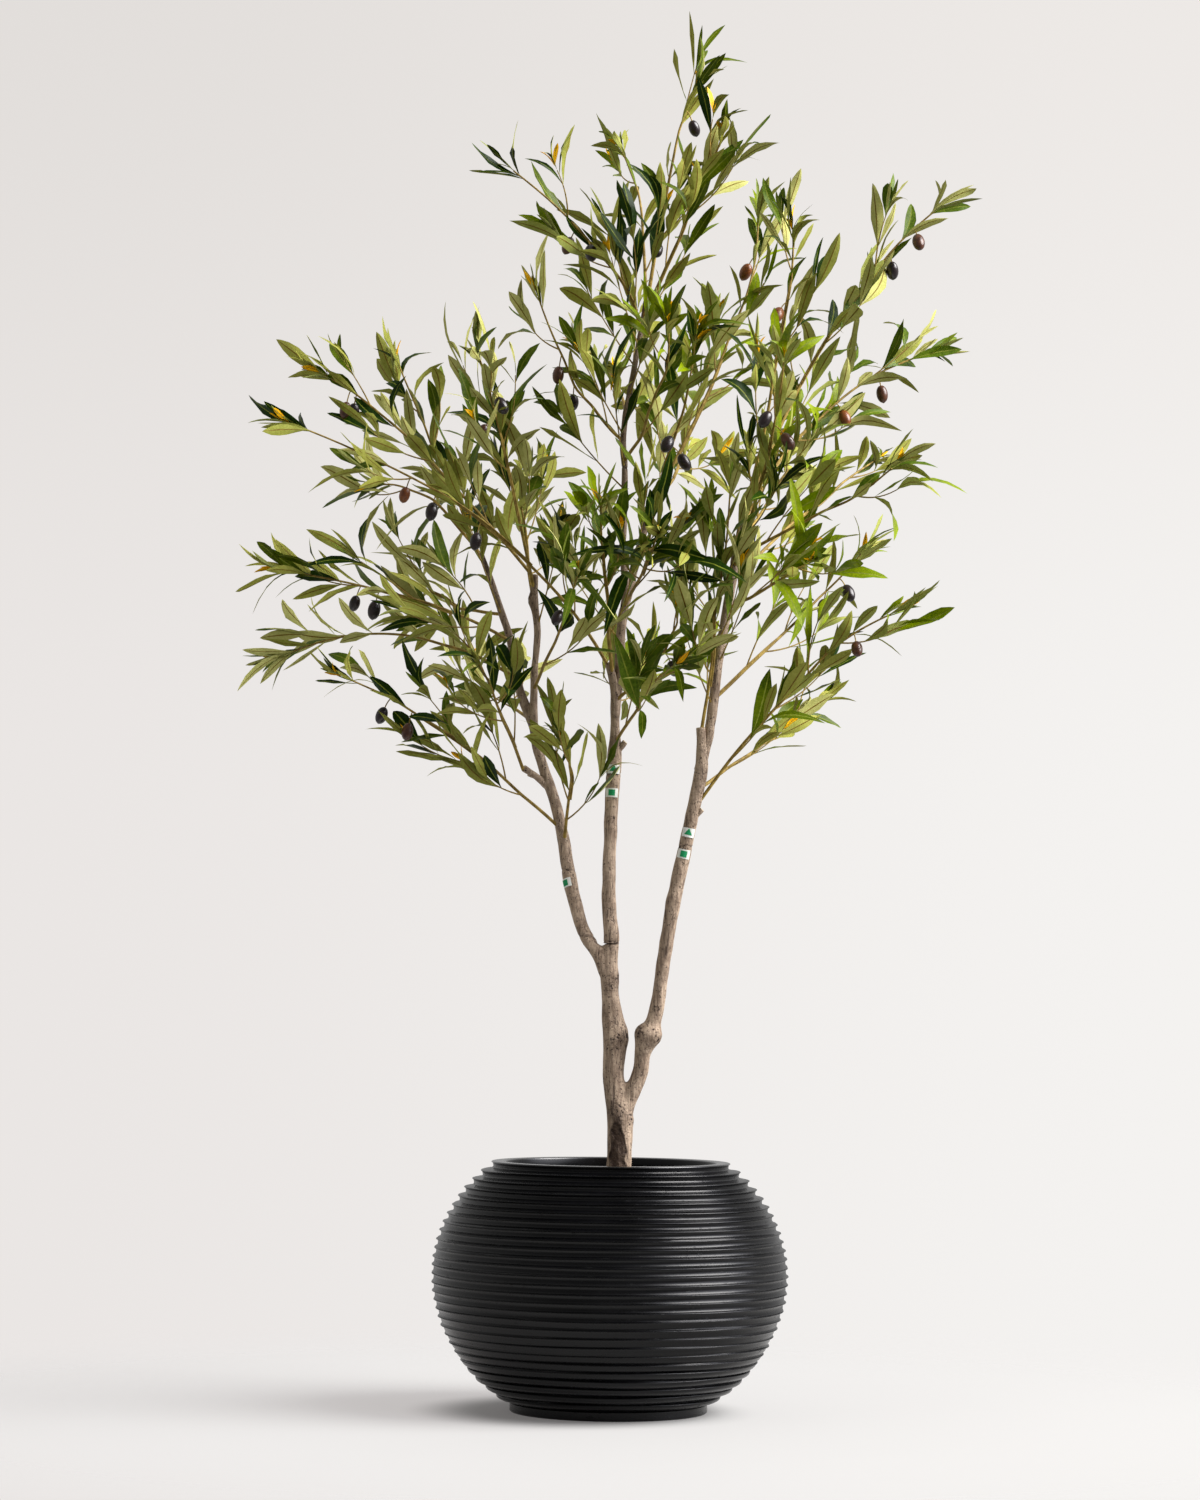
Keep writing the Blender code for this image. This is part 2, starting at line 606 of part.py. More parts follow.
class Spray:
    """One mass of foliage: a bent stem that grows twigs by a seeded rule."""

    def __init__(self, name, row, number, wood, profile):
        self.name = f"foliage_{name}"
        self.chance = random.Random(SEED + number)
        lead, height, bend, tip, self.olives = row
        axis = wood.axis_point(lead, height)
        bend = Vector(bend)
        last_leaf = Vector(tip)
        self.tip = last_leaf - (last_leaf - bend).normalized() * TIP_LEAF
        start = axis.xyz
        control = 2 * bend - (start + self.tip) / 2
        heading = (control - start).normalized()
        if height > axis.z:
            outward = Vector((heading.x, heading.y, 0.0))
            start = start + outward.normalized() * axis[3] * SEAT_ASIDE
            heading = (control - start).normalized()
        self.bend = bend
        self.length = (bend - start).length + (self.tip - bend).length
        self.seat(start, heading, wood, profile)
        self.bits = []
        self.twigs = []

    def seat(self, start, heading, wood, profile):
        """Slide the foot in along its own line until the stem lies a gap clear of the wood."""
        travel = SEAT_REACH
        touching = 0.0
        for attempt in range(SEAT_TRIES):
            self.foot = start + heading * travel
            self.stem = self.stem_mesh(profile)
            clear = wood.clearance(self.stem)
            if clear < 0.0:
                touching = travel
                travel += GAP
            elif clear - GAP < SEAT_MATCH or travel - touching < GAP + SEAT_MATCH:
                return
            else:
                travel = max(travel - (clear - GAP), touching + GAP)

    def stem_mesh(self, profile):
        """The stem as a tapering three-sided tube."""
        steps = max(3, round(self.length / STEM_STEP))
        self.line = [bend_through(self.foot, self.bend, self.tip, step / steps) for step in range(steps + 1)]
        taper = (STEM_TIP_RADIUS - STEM_RADIUS) / steps
        rings = [(*point, STEM_RADIUS + taper * step) for step, point in enumerate(self.line)]
        return curve_mesh(self.name, rings, 0, profile)

    def point(self, share):
        """A point in the middle of the stem."""
        place = share * (len(self.line) - 1)
        step = int(place)
        return self.line[step].lerp(self.line[step + 1], place - step)

    def heading(self, share):
        """The stem's direction at a share of its length."""
        step = int(share * (len(self.line) - 1))
        return (self.line[step + 1] - self.line[step]).normalized()

    def grow_twigs(self, space):
        """Twigs leave the stem in turn round it, longest near its foot."""
        count = max(2, round(self.length * (TWIG_LAST - TWIG_FIRST) / TWIG_SPACING) + 1)
        roll = self.chance.uniform(0.0, math.tau)
        for number in range(count):
            share = TWIG_FIRST + (TWIG_LAST - TWIG_FIRST) * number / (count - 1)
            heading = self.heading(share)
            reach = (TWIG_LONG + (TWIG_SHORT - TWIG_LONG) * share) * self.chance.uniform(*TWIG_VARIES)
            for attempt in range(TRIES):
                turn = roll + GOLDEN_ANGLE * number + TWIG_TURN * attempt
                spread = math.radians(self.chance.uniform(*TWIG_SPREAD))
                start = self.point(share)
                end = start + tilted(heading, turn, spread) * reach
                room = rod_mesh("room", start, end, TWIG_RADIUS + CLEARANCE, TWIG_TIP_RADIUS + CLEARANCE)
                if space.is_free(room, but=(self.name,)):
                    rod = rod_mesh("twig", start, end, TWIG_RADIUS, TWIG_TIP_RADIUS)
                    space.add(rod, self.name)
                    self.bits.append(rod)
                    self.twigs.append((start, end))
                    break

    def grow_leaves(self, space):
        """Leaves sit at twig tips, on twigs and round the stem's tip, each with its root in the wood."""
        seats = [(self.point(share), self.heading(share), spread) for share, spread in STEM_LEAVES]
        for start, end in self.twigs:
            heading = (end - start).normalized()
            seats.extend((start.lerp(end, share), heading, spread) for share, spread in TWIG_LEAVES)
        for number, (root, heading, spread) in enumerate(seats):
            self.add_leaf(space, root, heading, spread, number)

    def add_leaf(self, space, root, heading, spread, number):
        """Place one leaf, turned on round its twig until it is free."""
        for attempt in range(TRIES):
            turn = GOLDEN_ANGLE * number + LEAF_TURN * attempt + self.chance.uniform(*TURN_VARIES)
            way = tilted(heading, turn, math.radians(spread * self.chance.uniform(*SPREAD_VARIES)))
            length = LEAF_LENGTH * self.chance.uniform(*LEAF_VARIES)
            normal = tilted(way, self.chance.uniform(0, math.tau), math.radians(90))
            if normal.z < 0:
                normal = -normal
            normal = (normal + UP * LEAF_UPWARD).normalized()
            leaf = leaf_mesh("leaf", root, way, normal, length, LEAF_WIDTH, LEAF_THICKNESS)
            room = leaf_mesh("room", root + way * LEAF_NECK, way, normal, length - LEAF_NECK + CLEARANCE,
                             LEAF_WIDTH + 2 * CLEARANCE, LEAF_THICKNESS + 2 * CLEARANCE)
            if space.is_free(room) and space.is_free(leaf, but=(self.name,)):
                space.add(leaf, self.name)
                self.bits.append(leaf)
                return

    def grow_olives(self, space):
        """Olives hang from the stem on short stalks."""
        for share, swing in self.olives:
            heading = self.heading(share)
            aside = heading.cross(UP).normalized()
            way = (aside * swing * OLIVE_SWING - UP + heading * OLIVE_LEAN).normalized()
            start = self.point(share)
            end = start + way * (STALK_LENGTH + STEM_RADIUS)
            fruit = olive_mesh("olive", end + way * (OLIVE_LENGTH / 2 - OLIVE_SINK), way)
            if space.is_free(fruit):
                stalk = rod_mesh("stalk", start, end, STALK_RADIUS, STALK_RADIUS)
                space.add(fruit, self.name)
                self.bits.extend((stalk, fruit))

    def fuse(self, parts, cutters, surface):
        """Join stem, twigs, leaves and olives into one solid."""
        base = mesh_object(self.name, self.stem, parts)
        for number, bit in enumerate(self.bits):
            mesh_object(f"bit_{number}", bit, cutters)
        mesh = fused(base, cutters)
        mesh.name = self.name
        mesh.materials.clear()
        mesh.materials.append(surface)


def tilted(heading, turn, spread):
    """A direction that leans away from a heading by a spread, towards a turn round it."""
    side = heading.cross(UP)
    if side.length < 0.1:
        side = heading.cross(Vector((1.0, 0.0, 0.0)))
    side = Matrix.Rotation(turn, 3, heading) @ side.normalized()
    return (heading * math.cos(spread) + side * math.sin(spread)).normalized()


def triangle_profile():
    """A flat triangle of unit radius that gives stems their three sides."""
    curve = bpy.data.curves.new("triangle", "CURVE")
    curve.dimensions = "2D"
    spline = curve.splines.new("POLY")
    spline.points.add(2)
    for number, point in enumerate(spline.points):
        angle = math.tau * number / 3
        point.co = (math.cos(angle), math.sin(angle), 0.0, 1.0)
    spline.use_cyclic_u = True
    thing = bpy.data.objects.new("triangle", curve)
    thing.hide_render = True
    thing.display_type = "WIRE"
    return thing


def build_foliage(parts, cutters, limbs):
    """All sprays: stems first, then twigs, olives and leaves, so that none grows through another."""
    wood = Wood(limbs)
    profile = triangle_profile()
    cutters.objects.link(profile)
    sprays = [Spray(name, row, number, wood, profile) for number, (name, row) in enumerate(SPRAYS.items())]
    bpy.data.objects.remove(profile, do_unlink=True)
    space = Space(wood.trees)
    for spray in sprays:
        space.add(spray.stem, spray.name)
    for spray in sprays:
        spray.grow_twigs(space)
    for spray in sprays:
        spray.grow_olives(space)
    for spray in sprays:
        spray.grow_leaves(space)
    greens = [material(f"leaf green {number}", finish) for number, finish in enumerate(LEAF_GREENS)]
    for number, spray in enumerate(sprays):
        spray.fuse(parts, cutters, greens[number % len(greens)])


def main():
    """Build the whole tree in its planter."""
    clear_scene()
    parts = new_collection("potted olive tree")
    cutters = new_collection("fused pieces")
    planter(parts)
    planter_fill(parts)
    limbs = build_limbs(parts, cutters)
    build_foliage(parts, cutters, limbs)


main()
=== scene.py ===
"""Looks of an artificial olive tree in a ribbed planter.

Metres, +Z up, -Y to the front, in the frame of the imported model.  Every mass of foliage is grown again
by the source's rule, carried to finer twigs and real leaves, and the wood and the planter get their
relief.
"""

import math
import random

import bmesh
import bpy
import numpy as np
from mathutils import Matrix, Vector


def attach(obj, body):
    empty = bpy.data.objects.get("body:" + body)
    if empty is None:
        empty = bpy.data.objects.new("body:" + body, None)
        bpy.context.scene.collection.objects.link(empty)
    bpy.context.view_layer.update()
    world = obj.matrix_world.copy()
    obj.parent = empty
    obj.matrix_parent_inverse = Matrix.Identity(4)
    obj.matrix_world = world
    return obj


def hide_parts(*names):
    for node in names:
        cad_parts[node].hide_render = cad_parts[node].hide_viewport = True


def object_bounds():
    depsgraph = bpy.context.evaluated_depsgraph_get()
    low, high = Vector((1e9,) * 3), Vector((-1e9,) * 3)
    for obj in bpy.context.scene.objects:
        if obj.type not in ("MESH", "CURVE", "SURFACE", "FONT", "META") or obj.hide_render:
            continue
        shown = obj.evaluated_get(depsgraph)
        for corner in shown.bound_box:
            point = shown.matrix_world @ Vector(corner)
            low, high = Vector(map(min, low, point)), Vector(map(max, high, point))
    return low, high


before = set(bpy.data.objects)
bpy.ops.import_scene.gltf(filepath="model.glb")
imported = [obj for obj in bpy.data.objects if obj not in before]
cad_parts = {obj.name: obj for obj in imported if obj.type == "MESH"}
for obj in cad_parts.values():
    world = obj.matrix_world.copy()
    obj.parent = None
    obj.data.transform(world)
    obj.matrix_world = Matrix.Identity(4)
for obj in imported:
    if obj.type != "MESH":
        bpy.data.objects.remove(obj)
CAD_BOX = [list(corner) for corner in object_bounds()]

RIGHT = np.array([1.0, 0.0, 0.0])
BACK = np.array([0.0, 1.0, 0.0])
UP = np.array([0.0, 0.0, 1.0])
UPRIGHT = 0.9

# Waves: how many sines are summed, the range of their sizes, and what brings their mean to about one
WAVE_COUNT = 10
WAVE_SIZES = (0.7, 1.4)
WAVE_GAIN = 1.8

# Planter: its wall, and the rows of its mouth as (distance out from the mouth, depth below the rim)
PLANTER_HEIGHT = 0.352
BELLY_RADIUS = 0.2535
BELLY_HEIGHT = 0.194
RIM_RADIUS = 0.17
RIM_WIDTH = 0.02
FOOT_RADIUS = 0.14
FOOT_HEIGHT = 0.012
FOOT_ROUND = 0.0015
WALL = 0.022
INNER_FLOOR = 0.03
INNER_LOW = 0.06
INNER_SHOULDER = 0.045
INNER_ROWS = 10
MOUTH_ROWS = ((0.0015, 0.024), (0, 0.016), (0, 0.003), (0.0009, 0.0009), (0.003, 0))
RIM_EDGE = 0.003
PLANTER_STEPS = 168

# Ribs: a row is (depth below the lip as a share of the pitch, then for each form its share of the way out)
RIB_COUNT = 28
RIB_DEPTH = 0.0029
RIB_ROWS = (
    (0.16, 0.60, 0.34, 0.98), (0.28, 0.30, 0.08, 0.97), (0.44, 0.14, 0.01, 0.88), (0.60, 0.06, -0.05, 0.70),
    (0.74, -0.08, -0.16, 0.44), (0.86, -0.32, -0.37, 0.18), (0.95, -0.72, -0.72, 0.06),
)
RIM_ROUND = 0.0018
RIM_POINTS = 7
LIP_ROUND = 0.0012
LIP_BEVEL = 0.0003
RIB_WAVER = 0.0009
WAVER_TURNS = (2, 3, 5)
WAVER_SEED = 31
WAVER_SWINGS = (0.3, 1.0)
SWAY_STEPS = 7

# Filler, with its lumps as (height, size, seed)
FILL_TOP = 0.291
FILL_CROWN = 0.004
FILL_LUMPS = ((0.0022, 0.02, 41), (0.0012, 0.009, 42))
FILL_DEPTH = 0.06
FILL_TAPER = 0.93
FILL_GAP = 0.001
FILL_PEAK = 0.001
FILL_MIDDLE = 0.02
FILL_RINGS = 26
FILL_STEPS = 96
CHIP_SEED = 43
CHIP_COUNT = 420
CHIP_SPREAD = (0.03, 0.98)
CHIP_LEVELS = (0.0, 0.004)
CHIP_VARIES = (0.4, 1.0)
CHIP_TAPER = 1.6
CHIP_POINTS = 5
CHIP_SIDES = 5
CHIP_REACH = 0.94
CHIP_LENGTH = 0.02
CHIP_THICKNESS = 0.16
CHIP_FLATNESS = 0.25

# Wood, with its lumps and wrinkles as (height, size, seed, upward stretch), and the seeds of other waves
RING_STEP = 0.0021
RUN_POINTS = 40
LIMB_SIDES = 36
STUB_SIDES = 18
STUB_RINGS = 9
STUB_ROOT = 0.6
STUB_OUT = 0.8
STUB_WIDE = 1.25
STUB_LESS = 0.25
ABOVE_ALL = 3.0
BARK_LUMPS = ((0.0007, 0.036, 11), (0.0003, 0.009, 12, 4.0))
SEAM_SEED, PATCH_SEED, RAGGED_SEED, BROKEN_SEED = 13, 14, 15, 16
SEAM_DEPTH = 0.0007
SEAM_WIDTH = 0.0016
SEAM_WANDER = 0.0012
SEAM_WAVE = 0.02
SEAM_REACH = 2.2
SEAM_STAIN = 0.85
VOXEL = 0.0016
CROTCH_REACH = 0.03
CROTCH_GAIN = 1.4
CROTCH_ROUNDS = 40
SOFTEN_ROUNDS = 4
TRUNK_SUNK = 0.004
PATCH_RAGGED = 0.25
PATCH_WAVE = 0.02
# Painted shade on the trunk's foot, where it sinks into the planter: its strength, the height where it
# begins, and the height over which it grows full
LOW_SHADE = 0.35
LOW_TOP = 0.40
LOW_OVER = 0.10

# Rings of a cut top as (rise above the rim, share of the radius, how bare of bark)
CUT_RINGS = ((0.0006, 0.94, 1.0), (0.0009, 0.82, 1.0), (0.0004, 0.50, 1.0), (-0.0002, 0.20, 0.25))

# Each lead is one run of wood from its root to its cut top, as stations (x, y, z, radius)
LEADS = {
    "middle": (
        (0.011, 0, 0.2913, 0.0215), (0.011, 0, 0.33, 0.018), (0.012, 0, 0.404, 0.0178),
        (0.003, 0, 0.47, 0.0148), (0.003, 0, 0.528, 0.0168), (-0.004, 0, 0.59, 0.0123),
        (-0.006, 0, 0.625, 0.0125), (-0.003, 0, 0.672, 0.0112), (-0.007, 0.005, 0.724, 0.01),
        (-0.007, 0.01, 0.79, 0.0092), (-0.004, 0.015, 0.878, 0.0099), (-0.001, 0.02, 0.925, 0.0108),
        (-0.001, 0.02, 0.975, 0.0066), (-0.003, 0.02, 1.03, 0.0062), (-0.011, 0.02, 1.066, 0.0052),
    ),
    "right": (
        (0.01, 0, 0.415, 0.013), (0.028, -0.002, 0.45, 0.0125), (0.04, -0.005, 0.48, 0.0112),
        (0.044, -0.01, 0.508, 0.0118), (0.052, -0.015, 0.534, 0.0165), (0.058, -0.017, 0.552, 0.0115),
        (0.065, -0.02, 0.588, 0.0099), (0.074, -0.03, 0.656, 0.0096), (0.085, -0.04, 0.724, 0.0105),
        (0.098, -0.045, 0.789, 0.01), (0.11, -0.05, 0.849, 0.0093), (0.121, -0.055, 0.905, 0.0095),
        (0.122, -0.055, 0.94, 0.0072), (0.12, -0.055, 0.968, 0.0062),
    ),
    "left": (
        (-0.004, 0, 0.608, 0.011), (-0.021, 0, 0.645, 0.0105), (-0.044, 0.01, 0.683, 0.0093),
        (-0.063, 0.03, 0.751, 0.0098), (-0.076, 0.045, 0.824, 0.0088), (-0.088, 0.055, 0.871, 0.0079),
        (-0.101, 0.06, 0.907, 0.0078), (-0.113, 0.065, 0.944, 0.0068), (-0.121, 0.07, 0.982, 0.0074),
        (-0.141, 0.07, 1.032, 0.0068), (-0.155, 0.07, 1.103, 0.0054), (-0.174, 0.075, 1.16, 0.005),
        (-0.199, 0.085, 1.231, 0.0038),
    ),
    "left_inner": (
        (-0.119, 0.069, 0.975, 0.0058), (-0.119, 0.062, 1.046, 0.0052), (-0.115, 0.056, 1.111, 0.0049),
        (-0.12, 0.05, 1.156, 0.0062), (-0.12, 0.05, 1.195, 0.0048),
    ),
    "left_side": (
        (-0.096, 0.058, 0.888, 0.0052), (-0.113, 0.052, 0.902, 0.005), (-0.132, 0.045, 0.914, 0.0045),
    ),
    "right_bough": (
        (0.119, -0.053, 0.908, 0.008), (0.13, -0.049, 0.948, 0.007), (0.136, -0.045, 0.986, 0.0072),
        (0.147, -0.04, 1.081, 0.007), (0.161, -0.032, 1.165, 0.0068), (0.169, -0.028, 1.217, 0.0062),
        (0.179, -0.02, 1.272, 0.0052),
    ),
    "middle_bough": (
        (-0.001, 0.02, 0.985, 0.006), (0.003, 0.027, 1.035, 0.007), (0.005, 0.03, 1.075, 0.0074),
        (0.007, 0.035, 1.127, 0.007), (0.018, 0.04, 1.18, 0.007), (0.039, 0.05, 1.264, 0.0054),
        (0.056, 0.055, 1.322, 0.0046),
    ),
    "leader": (
        (0.015, 0.039, 1.165, 0.0055), (0.008, 0.032, 1.225, 0.0052), (0.009, 0.03, 1.336, 0.0048),
        (0.007, 0.03, 1.406, 0.0044), (0.023, 0.03, 1.508, 0.004), (0.04, 0.03, 1.611, 0.0036),
    ),
}

# The trunk's share of each lead, as the heights where it begins and ends, and the forks that it rounds off
TRUNK_RUNS = (("middle", 0.2913, 0.664), ("right", 0.415, 0.497), ("left", 0.608, 0.672))
CROTCHES = ((0.019, -0.002, 0.448), (-0.014, 0, 0.65))

# Limbs: lead, height where its own piece begins, and the nodes that the piece stands for
LIMBS = (
    ("middle", 0.661, ("middle_limb", "middle_limb_upper")),
    ("right", 0.494, ("right_limb", "right_limb_upper")),
    ("left", 0.669, ("left_limb", "left_limb_upper", "left_bough_outer")),
    ("left_inner", 0.975, ("left_bough_inner",)),
    ("left_side", 0.888, ()),
    ("right_bough", 0.908, ("right_bough",)),
    ("middle_bough", 0.985, ("middle_bough",)),
    ("leader", 1.165, ("leader_bough",)),
)

# Seams and dark growth rings round the wood: lead, height
SEAMS = (
    ("middle", 0.664), ("middle", 0.905), ("right", 0.8), ("left", 0.672), ("left", 0.767), ("left", 1.045),
    ("middle_bough", 1.15), ("leader", 1.246), ("leader", 1.35), ("right_bough", 1.205),
)

# Knots: lead, height, side in degrees round the wood (0 right, -90 front), how far it stands out, its size
KNOTS = (
    ("middle", 0.417, -8, 0.004, 0.01), ("middle", 0.424, -100, 0.0008, 0.009),
    ("middle", 0.532, 5, 0.0045, 0.012), ("middle", 0.52, -80, 0.0015, 0.008),
    ("middle", 0.612, 10, 0.0022, 0.009), ("middle", 0.6, -100, 0.0009, 0.006),
    ("right", 0.536, 200, 0.0045, 0.008), ("right", 0.53, -10, 0.0025, 0.009),
    ("right", 0.57, -90, 0.0008, 0.004), ("right", 0.7, -60, 0.0006, 0.004),
    ("middle", 0.84, -95, 0.0005, 0.005), ("left_inner", 1.158, 190, 0.003, 0.006),
    ("left", 0.96, 10, 0.002, 0.006), ("middle", 1.02, -70, 0.0007, 0.003),
    ("right", 0.938, -80, 0.0007, 0.003), ("middle", 0.47, 170, 0.0012, 0.008),
    ("middle", 0.56, 120, 0.0015, 0.008), ("left", 0.81, 90, 0.0012, 0.006),
    ("right", 0.64, 95, 0.0012, 0.006), ("middle", 0.76, 80, 0.0012, 0.006),
)

# Cut stubs of side twigs: lead, height, side in degrees, rise in degrees, length, radius
STUBS = (
    ("middle", 0.934, -15, 50, 0.021, 0.0042), ("right", 0.838, -5, 45, 0.019, 0.0042),
    ("left_side", 0.903, 190, 15, 0.011, 0.0036), ("right_bough", 1.205, 5, 60, 0.022, 0.0038),
    ("left", 1.03, 100, 40, 0.016, 0.0036), ("middle_bough", 1.2, 80, 45, 0.016, 0.0034),
)

# Bare patch of darker bark on the trunk's front: centre and half sizes
PATCH_CENTRE = np.array([0.009, -0.02, 0.364])
PATCH_HALF = np.array([0.015, 0.015, 0.066])

# Assembly stickers: lead, height, side in degrees, corners of the mark on it
STICKERS = (
    ("middle", 0.911, -93, 3), ("middle", 0.878, -95, 4), ("right", 0.821, -90, 3), ("right", 0.79, -92, 4),
    ("left", 0.748, -140, 4),
)
STICKER_WIDTH = 0.0185
STICKER_HEIGHT = 0.013
STICKER_COLUMNS = 9
STICKER_ROWS = 5
STICKER_LIFT = 0.0009
STICKER_THICKNESS = 0.0006
STICKER_NEAR = 0.03
MARK_SIZE = 0.0062
MARK_STEPS = 6
MARK_RISE = 0.0004

# A height that stands for a lead's cut top
CUT_TOP = 2.0

# Each spray: its habit, the lead it leaves and the height there, the bend of its stem and the tip of
# its last leaf, and its olives as (share of the stem, sideways swing)
SPRAYS = {
    "left_low": ("foot", "left", 0.826, (-0.235, -0.01, 0.954), (-0.427, -0.12, 1.055),
                 ((0.72, 0), (0.8, 1))),
    "left_hanging": ("foot", "left", 0.806, (-0.066, -0.015, 0.89), (-0.079, -0.06, 0.995), ()),
    "left_side_front": ("full", "left_side", CUT_TOP, (-0.17, -0.06, 1), (-0.205, -0.2, 1.074), ()),
    "left_reach_low": ("tip", "left", 1.045, (-0.307, 0.07, 1.108), (-0.534, 0.05, 1.067), ()),
    "left_reach_high": ("tip", "left", 1.1, (-0.286, 0, 1.149), (-0.538, -0.05, 1.201),
                        ((0.66, 0), (0.74, 1))),
    "left_back_low": ("foot", "left", 1.14, (-0.256, 0.14, 1.167), (-0.322, 0.22, 1.269), ()),
    "left_top_mid": ("thin", "left", CUT_TOP, (-0.279, 0.12, 1.312), (-0.397, 0.18, 1.359), ()),
    "left_top_back": ("even", "left", 1.19, (-0.27, 0.19, 1.387), (-0.354, 0.28, 1.585), ()),
    "left_far_back": ("foot", "left", 0.985, (-0.18, 0.22, 1.04), (-0.23, 0.38, 1.12), ()),
    "left_high_reach": ("thin", "middle", CUT_TOP, (-0.186, -0.04, 1.252), (-0.513, -0.1, 1.416),
                        ((0.52, 0), (0.68, 0), (0.73, 1))),
    "left_high_fan": ("thin", "left_inner", CUT_TOP, (-0.3, 0.06, 1.388), (-0.478, 0.06, 1.522),
                      ((0.8, 1), (0.86, 0))),
    "left_inner_up": ("full", "left_inner", 1.172, (-0.169, -0.06, 1.384), (-0.21, -0.2, 1.516),
                      ((0.62, 1), (0.74, -1))),
    "left_inner_back": ("full", "left_inner", 1.15, (-0.14, 0.19, 1.29), (-0.15, 0.33, 1.42), ()),
    "left_inner_front": ("tip", "left_inner", 1.03, (-0.08, -0.09, 1.112), (-0.046, -0.27, 1.187),
                         ((0.75, 1),)),
    "middle_stub_front": ("full", "middle", 1.045, (-0.02, -0.06, 1.19), (-0.027, -0.2, 1.31), ()),
    "middle_nub_front": ("foot", "middle", 0.95, (0.04, -0.08, 1.012), (0.099, -0.25, 1.061), ()),
    "middle_right_low": ("thin", "middle", 1.01, (0.067, -0.01, 1.084), (0.103, -0.05, 1.19), ((0.5, -1),)),
    "middle_back_low": ("foot", "middle", 0.975, (0.01, 0.17, 1.05), (0.05, 0.33, 1.11), ()),
    "centre_front": ("full", "middle_bough", 1.15, (0.04, -0.11, 1.2), (0.06, -0.3, 1.23), ()),
    "centre_rise": ("thin", "middle_bough", CUT_TOP, (0.09, -0.01, 1.43), (0.12, -0.1, 1.56),
                    ((0.4, 1), (0.3, -1))),
    "centre_back": ("even", "middle_bough", 1.29, (0.09, 0.23, 1.38), (0.11, 0.4, 1.46), ()),
    "leader_left": ("thin", "leader", 1.39, (-0.062, 0.03, 1.471), (-0.144, 0.04, 1.655),
                    ((0.7, 0), (0.55, 1))),
    "leader_front": ("tip", "leader", 1.36, (0.055, -0.11, 1.44), (0.07, -0.28, 1.545), ()),
    "leader_back": ("thin", "leader", 1.43, (0, 0.2, 1.5), (-0.01, 0.35, 1.56), ()),
    "crown_left": ("foot", "leader", 1.55, (-0.03, -0.02, 1.653), (-0.198, -0.1, 1.797),
                   ((0.68, 1), (0.6, -1))),
    "crown_back": ("thin", "leader", 1.585, (0.03, 0.11, 1.738), (-0.015, 0.18, 1.895), ()),
    "crown_top": ("thin", "leader", CUT_TOP, (0.075, 0.02, 1.804), (0.121, 0, 1.958),
                  ((0.2, 1), (0.8, -1))),
    "crown_right": ("foot", "leader", 1.57, (0.11, -0.06, 1.73), (0.158, -0.15, 1.849), ()),
    "right_rise_back": ("foot", "middle_bough", 1.305, (0.165, 0.11, 1.56), (0.215, 0.14, 1.793),
                        ((0.85, -1),)),
    "right_rise_front": ("thin", "right_bough", 1.262, (0.232, -0.09, 1.54), (0.246, -0.13, 1.724),
                         ((0.62, 1),)),
    "right_high_reach": ("even", "right_bough", CUT_TOP, (0.303, 0.01, 1.546), (0.498, 0.02, 1.779),
                         ((0.9, 1), (0.82, -1))),
    "right_reach": ("even", "right_bough", 1.255, (0.292, 0.06, 1.433), (0.496, 0.14, 1.568),
                    ((0.8, 0), (0.6, 1))),
    "right_out_front": ("thin", "right_bough", 1.215, (0.29, -0.08, 1.273), (0.427, -0.17, 1.358), ()),
    "right_out_back": ("thin", "right_bough", 1.18, (0.3, 0.15, 1.32), (0.423, 0.32, 1.43), ()),
    "right_front": ("foot", "right_bough", 1.14, (0.23, -0.18, 1.17), (0.28, -0.32, 1.19), ()),
    "right_top_front": ("foot", "right_bough", 1.2, (0.205, -0.165, 1.33), (0.23, -0.32, 1.5),
                        ((0.7, -1), (0.8, 1))),
    "right_top_back": ("foot", "right_bough", 1.235, (0.24, 0.18, 1.35), (0.26, 0.38, 1.44), ()),
    "right_mid": ("foot", "right_bough", 1.01, (0.262, 0.03, 1.132), (0.386, 0.1, 1.268),
                  ((0.75, -1), (0.85, 1))),
    "right_low": ("even", "right", 0.85, (0.257, -0.08, 1.034), (0.434, -0.11, 1.164), ((0.8, 1),)),
    "right_low_back": ("even", "right", 0.88, (0.23, 0.09, 0.97), (0.338, 0.22, 1.05), ()),
    "right_stub_up": ("full", "right", CUT_TOP, (0.14, -0.09, 1.122), (0.163, -0.14, 1.371), ()),
}

# Short leafy shoots straight on the wood: lead, height, side in degrees, rise in degrees, length
SHOOTS = (
    ("leader", 1.32, 170, 35, 0.13), ("leader", 1.4, 200, 40, 0.12), ("leader", 1.455, -60, 45, 0.12),
    ("leader", 1.5, 150, 40, 0.13), ("leader", 1.53, -120, 45, 0.13), ("leader", 1.565, 30, 40, 0.13),
    ("leader", 1.595, -80, 50, 0.13), ("leader", 1.35, -100, 45, 0.12), ("leader", 1.48, 80, 45, 0.12),
    ("right_bough", 1, -120, 40, 0.12), ("right_bough", 1.06, -60, 45, 0.13),
    ("right_bough", 1.11, 190, 40, 0.13), ("right_bough", 1.165, -110, 40, 0.12),
    ("middle_bough", 1.1, 200, 40, 0.13), ("middle_bough", 1.22, -80, 40, 0.12),
    ("left", 1.13, 200, 60, 0.13), ("left_inner", 1.12, -60, 50, 0.13),
)

# How densely a spray of each habit bears twigs and leaves near its foot, half way and near its tip
HABITS = {
    "thin": (0.4, 0.3, 0.3),
    "foot": (1.6, 0.4, 0.3),
    "tip": (0.3, 0.3, 1.3),
    "full": (1.5, 1.3, 0.4),
    "even": (0.5, 0.7, 0.4),
}
HABIT_SHARES = (0.25, 0.55, 0.85)

